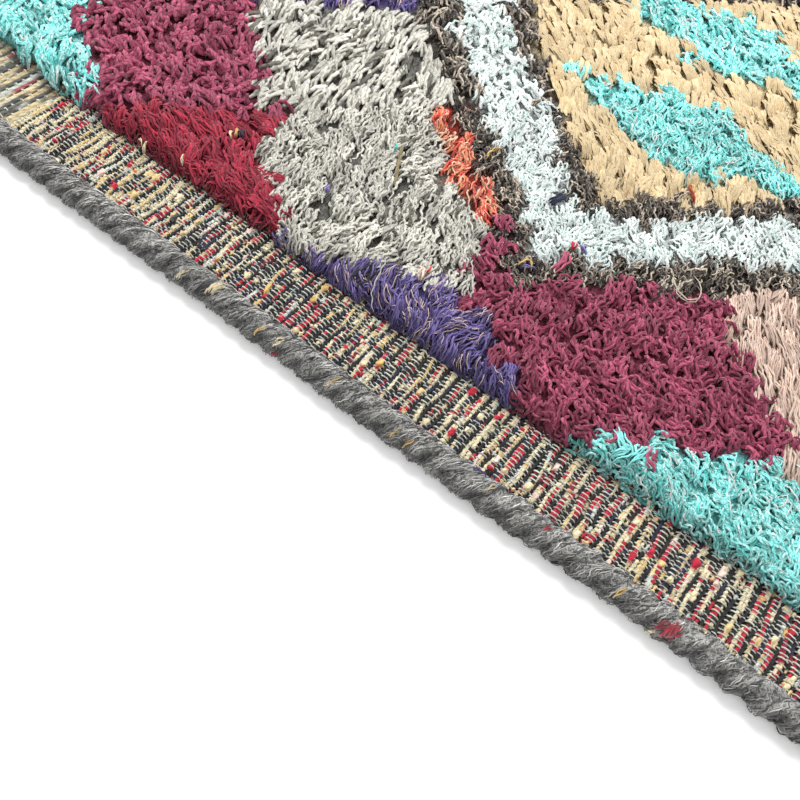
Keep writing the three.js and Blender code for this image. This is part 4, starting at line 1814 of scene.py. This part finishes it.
@dataclass
class Selvage:
    """A cord of edge warps with grey wool overcast round it, for one long side."""

    name: str
    side: int
    seed: int
    wrap_pitch: float = 11.5
    lean: float = 6.0
    sides: int = 20
    step: float = 1.1
    arc: tuple[float, float] = (205.0, -40.0)
    pit_at: tuple[float, float] = (36.0, 34.0)
    shadow_at: tuple[float, float] = (26.0, 42.0)
    fibre_pitch: float = 0.2
    fibre_points: int = 8
    fibre_width: float = 0.56
    poke_pitch: float = 0.45
    poke_points: int = 7
    pokes: tuple[Poke, ...] = ()

    def build(self) -> list[bpy.types.Object]:
        """Makes the cord's body and the wool's fibres.

        Returns:
            The pieces.
        """
        rng = np.random.default_rng(self.seed)
        pieces = [self._body(), self._wool(rng)]
        for piece in pieces:
            dress(piece, self.name)
        return pieces

    def surface(self, x: Array, degrees: Array, proud: Array) -> Array:
        """Finds places on the cord.

        Args:
            x: how far along the rug they are, in millimetres.
            degrees: how far round the section they are, 0 at its outer side and 90 on top.
            proud: how far they stand out from it.

        Returns:
            The places, with an axis added at the end.
        """
        angle = np.radians(degrees)
        around = np.cos(angle) * 7.0
        swell = 0.69 + 0.31 * self._ridge(x, degrees) + 0.05 * Field(self.seed + 6, 23.0)(x, around)
        fluff = 0.22 * Field(self.seed + 8, 1.7)(x, degrees * 0.12)
        half = CORD_WIDTH / 2
        out = np.cos(angle) * (half * swell + proud + fluff)
        up = CORD_HEIGHT / 2 + np.sin(angle) * (CORD_HEIGHT / 2 * swell + proud + fluff)
        middle = RUG_HALF_DEPTH - half + side_line(x, self.side)
        y = self.side * (middle + out)
        return np.stack([np.broadcast_to(x, y.shape), y, np.maximum(up, 0.25)], axis=-1)

    def _ridge(self, x: Array, degrees: Array) -> Array:
        """Finds how near places are to the middle of a wrap of the wool.

        Args:
            x: how far along the rug they are, in millimetres.
            degrees: how far round the section they are.

        Returns:
            1 on a wrap's middle and 0 between two wraps.
        """
        lean = np.cos(np.radians(degrees))
        wobble = 0.3 * Field(self.seed + 5, 19.0)(x, lean * 7.0)
        phase = (x + self.lean * lean) / self.wrap_pitch + wobble
        return np.abs(np.sin(math.pi * phase)) ** 0.6

    def _shade(self, x: Array, degrees: Array, height: Array) -> Array:
        """Finds how dark the wool is: less light reaches its outer side and the pits between wraps.

        Args:
            x: how far along the rug the places are, in millimetres.
            degrees: how far round the section they are.
            height: how high they are, in millimetres.

        Returns:
            The share of the wool's colour that shows.
        """
        def bell(at: tuple[float, float]) -> Array:
            """1 at a middle round the section and less away from it, by a spread in degrees."""
            return np.exp(-((degrees - at[0]) / at[1]) ** 2)

        ridge = self._ridge(x, degrees)
        pit = (1.0 - ridge ** 1.6) * bell(self.pit_at)
        deep = 0.75 + 0.5 * Field(self.seed + 9, 13.0)(x, 0.0 * x)
        patch = 1.0 + 0.2 * Field(self.seed + 10, 12.0)(x, degrees * 0.12)
        shade = (0.34 + 0.7 * np.clip(height / 9.5, 0.0, 1.0)) * (0.32 + 0.9 * ridge)
        shade = shade * (1.0 - 0.42 * bell(self.shadow_at))
        shade = shade * (0.84 + 0.16 * np.clip((degrees + 10.0) / 40.0, 0.0, 1.0))
        return np.clip(shade * (1.0 - 0.8 * pit * deep) * patch, 0.1, 1.3)

    def _body(self) -> bpy.types.Object:
        """Makes the cord's body as one ridged tube, finer where it is seen from near.

        Returns:
            The piece.
        """
        spots = [-RUG_HALF_LENGTH]
        while spots[-1] < RUG_HALF_LENGTH:
            coarse = float(coarseness(np.array(spots[-1]), np.array(self.side * RUG_HALF_DEPTH)))
            spots.append(spots[-1] + self.step * coarse ** 1.2)
        x = np.array(spots) * (2 * RUG_HALF_LENGTH / (spots[-1] - spots[0]))
        x = x - x[0] - RUG_HALF_LENGTH
        shape = bmesh.new()
        # The dye layer holds painted shade from _shade, the darkening of the outer side, low parts and pits,
        # not a colour of its own.
        dye = shape.verts.layers.float_color.new("dye")
        bmesh.ops.create_circle(shape, cap_ends=True, segments=self.sides, radius=1.0)
        edges = shape.edges[:]
        rings = [shape.verts[:]]
        for _ in x[1:]:
            made = bmesh.ops.extrude_edge_only(shape, edges=edges)["geom"]
            verts = [part for part in made if isinstance(part, bmesh.types.BMVert)]
            fresh = set(verts)
            edges = [
                part for part in made
                if isinstance(part, bmesh.types.BMEdge) and all(vert in fresh for vert in part.verts)]
            rings.append(verts)
        bmesh.ops.contextual_create(shape, geom=edges)
        degrees = np.array([[math.degrees(math.atan2(v.co.y, v.co.x)) for v in ring] for ring in rings])
        spread = np.repeat(x[:, None], self.sides, axis=1)
        places = self.surface(spread, degrees, np.full(degrees.shape, -0.1))
        shades = self._shade(spread, degrees, places[..., 2])
        for ring, row, dark in zip(rings, places, shades):
            for vert, place, shade in zip(ring, row, dark):
                vert.co = Vector(place) * MM
                vert[dye] = (shade, shade, shade, 1.0)
        bmesh.ops.recalc_face_normals(shape, faces=shape.faces[:])
        mesh = mesh_of(shape, f"{self.name}_body")
        felt = WoolFinish(f"{self.name}_felt", Shade.GREY_DARK.light(), Shade.GREY.light())
        mesh.materials.append(felt.material())
        LOG.info("%s_body: %d rings of %d", self.name, len(x), self.sides)
        return linked(f"{self.name}_body", mesh)

    def _wool(self, rng: np.random.Generator) -> bpy.types.Object:
        """Makes the wool: crimped fibres laid round the cord, fuzz and caught bits of other yarns.

        Args:
            rng: the source of chance.

        Returns:
            The piece.
        """
        tubes = Tubes()
        x = np.arange(-RUG_HALF_LENGTH + 1.0, RUG_HALF_LENGTH - 1.0, self.fibre_pitch)
        x = x + rng.uniform(-0.3, 0.3, len(x))
        coarse = coarseness(x, np.full(len(x), self.side * (RUG_HALF_DEPTH - 7.0)))
        keep = rng.random(len(x)) < 1.0 / coarse ** 3.0
        x, coarse = x[keep], coarse[keep]
        blend = ((Shade.GREY, 0.42), (Shade.GREY_DARK, 0.34), (Shade.GREY_PALE, 0.24))
        first = rng.uniform(self.arc[1] + 30.0, self.arc[0], len(x))
        span = np.minimum(rng.uniform(26.0, 64.0, len(x)), first - self.arc[1])
        self._fibres(tubes, rng, (x, coarse), (first, span), blend)
        self._fuzz(tubes, rng, x[::4] + rng.uniform(-1.0, 1.0, len(x[::4])), coarse[::4])
        for poke in self.pokes:
            self._poke(tubes, rng, poke)
        piece = tubes.build(f"{self.name}_wool")
        piece.data.materials.append(YarnFinish(
            f"{self.name}_fibres", Shade.GREY_DARK.light(), 0.2, fibre=0.5, plies=1.0, painted_edge_shade=0.45,
            root_shade=0.0, sheen=0.4).material())
        return piece

    def _fibres(
            self, tubes: Tubes, rng: np.random.Generator, along: tuple[Array, Array],
            arcs: tuple[Array, Array], blend: Sequence[tuple[Shade, float]]) -> None:
        """Lays crimped fibres of wool round the cord.

        Args:
            tubes: the mesh that they go into.
            rng: the source of chance.
            along: their places along the rug and how coarse they are.
            arcs: where round the section each starts, and how far round it goes, in degrees.
            blend: their shades.
        """
        x, coarse = along
        first, span = arcs
        share = np.linspace(0.0, 1.0, self.fibre_points)[None, :]
        degrees = first[:, None] - span[:, None] * share
        drift = rng.normal(-2.6, 1.3, len(x))[:, None]
        swing = np.radians(degrees) * (CORD_WIDTH / 2) * (TAU / rng.uniform(2.4, 4.2, len(x)))[:, None]
        crimp = rng.uniform(0.1, 0.42, len(x))[:, None] * np.sin(swing)
        px = np.clip(x[:, None] + drift * (share - 0.5) + crimp, -RUG_HALF_LENGTH, RUG_HALF_LENGTH)
        proud = rng.uniform(-0.15, 0.45, len(x))[:, None] + 0.25 * np.sin(math.pi * share)
        paths = self.surface(px, degrees, proud - 0.3 * (share * 2 - 1) ** 2)
        angle = np.radians(degrees)
        outward = np.stack([0.0 * angle, self.side * np.cos(angle), np.sin(angle)], axis=-1)
        taper = np.sqrt(np.clip(1.1 - (share * 2 - 1) ** 2, 0.12, 1.0))
        radii = 0.5 * self.fibre_width * coarse[:, None] * taper * rng.uniform(0.6, 1.3, (len(x), 1))
        dyes = np.repeat(dyed(rng, len(x), blend, 0.25)[:, None, :], self.fibre_points, axis=1)
        # Painted shade: each fibre is darkened as the wool under it, by _shade.
        dyes[..., :3] *= self._shade(px, degrees, paths[..., 2])[..., None]
        tubes.add(paths, radii, dyes, 2, 0.9, lying=True, up=outward)

    def _fuzz(self, tubes: Tubes, rng: np.random.Generator, x: Array, coarse: Array) -> None:
        """Adds loose hairs that stand out from the wool.

        Args:
            tubes: the mesh that they go into.
            rng: the source of chance.
            x: their places along the rug.
            coarse: how coarse they may be there.
        """
        count = len(x)
        degrees = rng.uniform(-50.0, 200.0, (count, 1))
        degrees = degrees + rng.normal(0.0, 7.0, (count, 1)) * np.arange(4)
        out = np.array([-0.3, 0.4, 0.8, 0.9])[None, :] * rng.uniform(0.4, 1.2, (count, 1))
        px = x[:, None] + rng.normal(0.0, 0.6, (count, 1)) * np.arange(4)
        paths = self.surface(np.clip(px, -RUG_HALF_LENGTH, RUG_HALF_LENGTH), degrees, out)
        radii = np.array([0.12, 0.1, 0.07, 0.03])[None, :] * coarse[:, None]
        tubes.add(paths, radii, dyed(rng, count, ((Shade.GREY, 0.6), (Shade.GREY_DARK, 0.4)), 0.1), 3)

    def _poke(self, tubes: Tubes, rng: np.random.Generator, poke: Poke) -> None:
        """Adds a bit of another yarn that shows through the wool.

        Args:
            tubes: the mesh that it goes into.
            rng: the source of chance.
            poke: the bit.
        """
        count = max(2, round(poke.width / self.poke_pitch))
        x = poke.x + (np.arange(count) - (count - 1) / 2) * self.poke_pitch + rng.uniform(-0.3, 0.3, count)
        sweep = self.arc[0] - self.arc[1]
        start = poke.start + rng.uniform(-0.05, 0.05, count)
        first = self.arc[0] - sweep * start
        span = sweep * (poke.end - poke.start) * rng.uniform(0.85, 1.1, count)
        share = np.linspace(0.0, 1.0, self.poke_points)[None, :]
        degrees = first[:, None] - span[:, None] * share
        phase = rng.random((count, 1)) * TAU
        px = x[:, None] - 2.5 * (share - 0.5) + 0.45 * np.sin(1.5 * TAU * share + phase)
        proud = rng.uniform(0.35, 0.85, (count, 1)) - 1.3 * (share * 2 - 1) ** 2
        paths = self.surface(px, degrees, proud)
        taper = np.sqrt(np.clip(1.1 - (share * 2 - 1) ** 4, 0.1, 1.0))
        radii = np.broadcast_to((0.3 + 0.08 * poke.width) * taper, px.shape)
        tubes.add(paths, radii, dyed(rng, count, ((poke.shade, 1.0),), 0.25), 3)


FRONT_POKES = (
    Poke(-110.0, Shade.CREAM, 1.2, 0.45, 0.75), Poke(-97.0, Shade.BLACK, 3.5, 0.2, 0.8),
    Poke(-93.0, Shade.CREAM, 3.0, 0.25, 0.62), Poke(-73.0, Shade.CREAM, 1.2, 0.2, 0.4),
    Poke(-63.0, Shade.GOLD, 1.1, 0.4, 0.7), Poke(-53.0, Shade.CREAM, 1.6, 0.45, 0.65),
    Poke(-52.0, Shade.RED, 1.2, 0.72, 0.9), Poke(-22.0, Shade.GOLD, 1.0, 0.4, 0.7),
    Poke(12.0, Shade.GOLD, 1.0, 0.45, 0.8), Poke(19.0, Shade.GOLD, 1.0, 0.5, 0.85),
    Poke(57.0, Shade.CREAM, 1.0, 0.3, 0.5), Poke(84.0, Shade.RED, 1.1, 0.35, 0.5),
    Poke(120.0, Shade.GOLD, 1.1, 0.4, 0.7), Poke(143.0, Shade.RED, 4.2, 0.44, 0.78),
    Poke(139.0, Shade.CRIMSON_DEEP, 2.2, 0.5, 0.74), Poke(136.5, Shade.CREAM, 1.2, 0.72, 0.9),
    Poke(146.5, Shade.RED, 1.2, 0.2, 0.3),
)


@dataclass(frozen=True)
class Lamp:
    """A soft square light that faces the middle of the rug. Sizes in metres, power in watts."""

    name: str
    place: tuple[float, float, float]
    power: float
    size: float

    def make(self) -> None:
        """Makes the light."""
        data = bpy.data.lights.new(self.name, "AREA")
        data.energy = self.power
        data.size = self.size
        made = bpy.data.objects.new(self.name, data)
        turn = Vector(self.place).to_track_quat("Z", "Y").to_matrix().to_4x4()
        made.matrix_world = Matrix.Translation(self.place) @ turn
        bpy.context.scene.collection.objects.link(made)


@dataclass(frozen=True)
class Studio:
    """The plain pale floor and the soft light."""

    floor_half: float = 6.0
    sky: float = 0.66
    lamps: tuple[Lamp, ...] = (
        Lamp("key", (-0.7, 0.9, 1.7), 45.0, 1.2),
        Lamp("fill", (0.9, -0.9, 1.5), 4.0, 1.6),
    )

    def build(self) -> None:
        """Makes the floor, the lights, the world and the camera."""
        shape = bmesh.new()
        bmesh.ops.create_grid(shape, x_segments=4, y_segments=4, size=self.floor_half)
        mesh = mesh_of(shape, "floor", smooth=False)
        mesh.materials.append(FloorFinish("floor_white", linear(250, 250, 250)).material())
        linked("floor", mesh)
        for lamp in self.lamps:
            lamp.make()
        world = bpy.data.worlds.new("studio")
        world.use_nodes = True
        background = world.node_tree.nodes["Background"]
        background.inputs["Color"].default_value = (1.0, 1.0, 1.0, 1.0)
        background.inputs["Strength"].default_value = self.sky
        bpy.context.scene.world = world
        bpy.context.scene.view_settings.view_transform = "Standard"
        CAMERA.make()


def main() -> None:
    """Builds the rug and its studio, in order, and reports each piece."""
    logging.basicConfig(level=logging.INFO, format="%(message)s")
    Studio().build()
    pieces = [GroundCloth().build()]
    weaves = (
        Weave("weave_front", (NEAR_START, -BAND_OUTER), (NEAR_END, -BAND_INNER), 61),
        Weave("weave_front_west", (-BAND_END, -BAND_OUTER), (NEAR_START, -BAND_INNER), 65, fine=False),
        Weave("weave_front_east", (NEAR_END, -BAND_OUTER), (BAND_END, -BAND_INNER), 66, fine=False),
        Weave("weave_back", (-BAND_END, BAND_INNER), (BAND_END, BAND_OUTER), 62, fine=False),
        Weave("weave_left", (-BAND_TIP, -BAND_OUTER), (-BAND_END, BAND_OUTER), 63, fine=False),
        Weave("weave_right", (BAND_END, -BAND_OUTER), (BAND_TIP, BAND_OUTER), 64, fine=False),
    )
    pieces += [weave.build() for weave in weaves]
    pieces += Selvage("selvage_front", -1, 71, pokes=FRONT_POKES).build()
    pieces += Selvage("selvage_back", 1, 72).build()
    pieces += Pile().build()
    pieces.append(Strays().build())
    for piece in pieces:
        LOG.info("%s: %d faces", piece.name, len(piece.data.polygons))


if __name__ == "__main__":
    main()
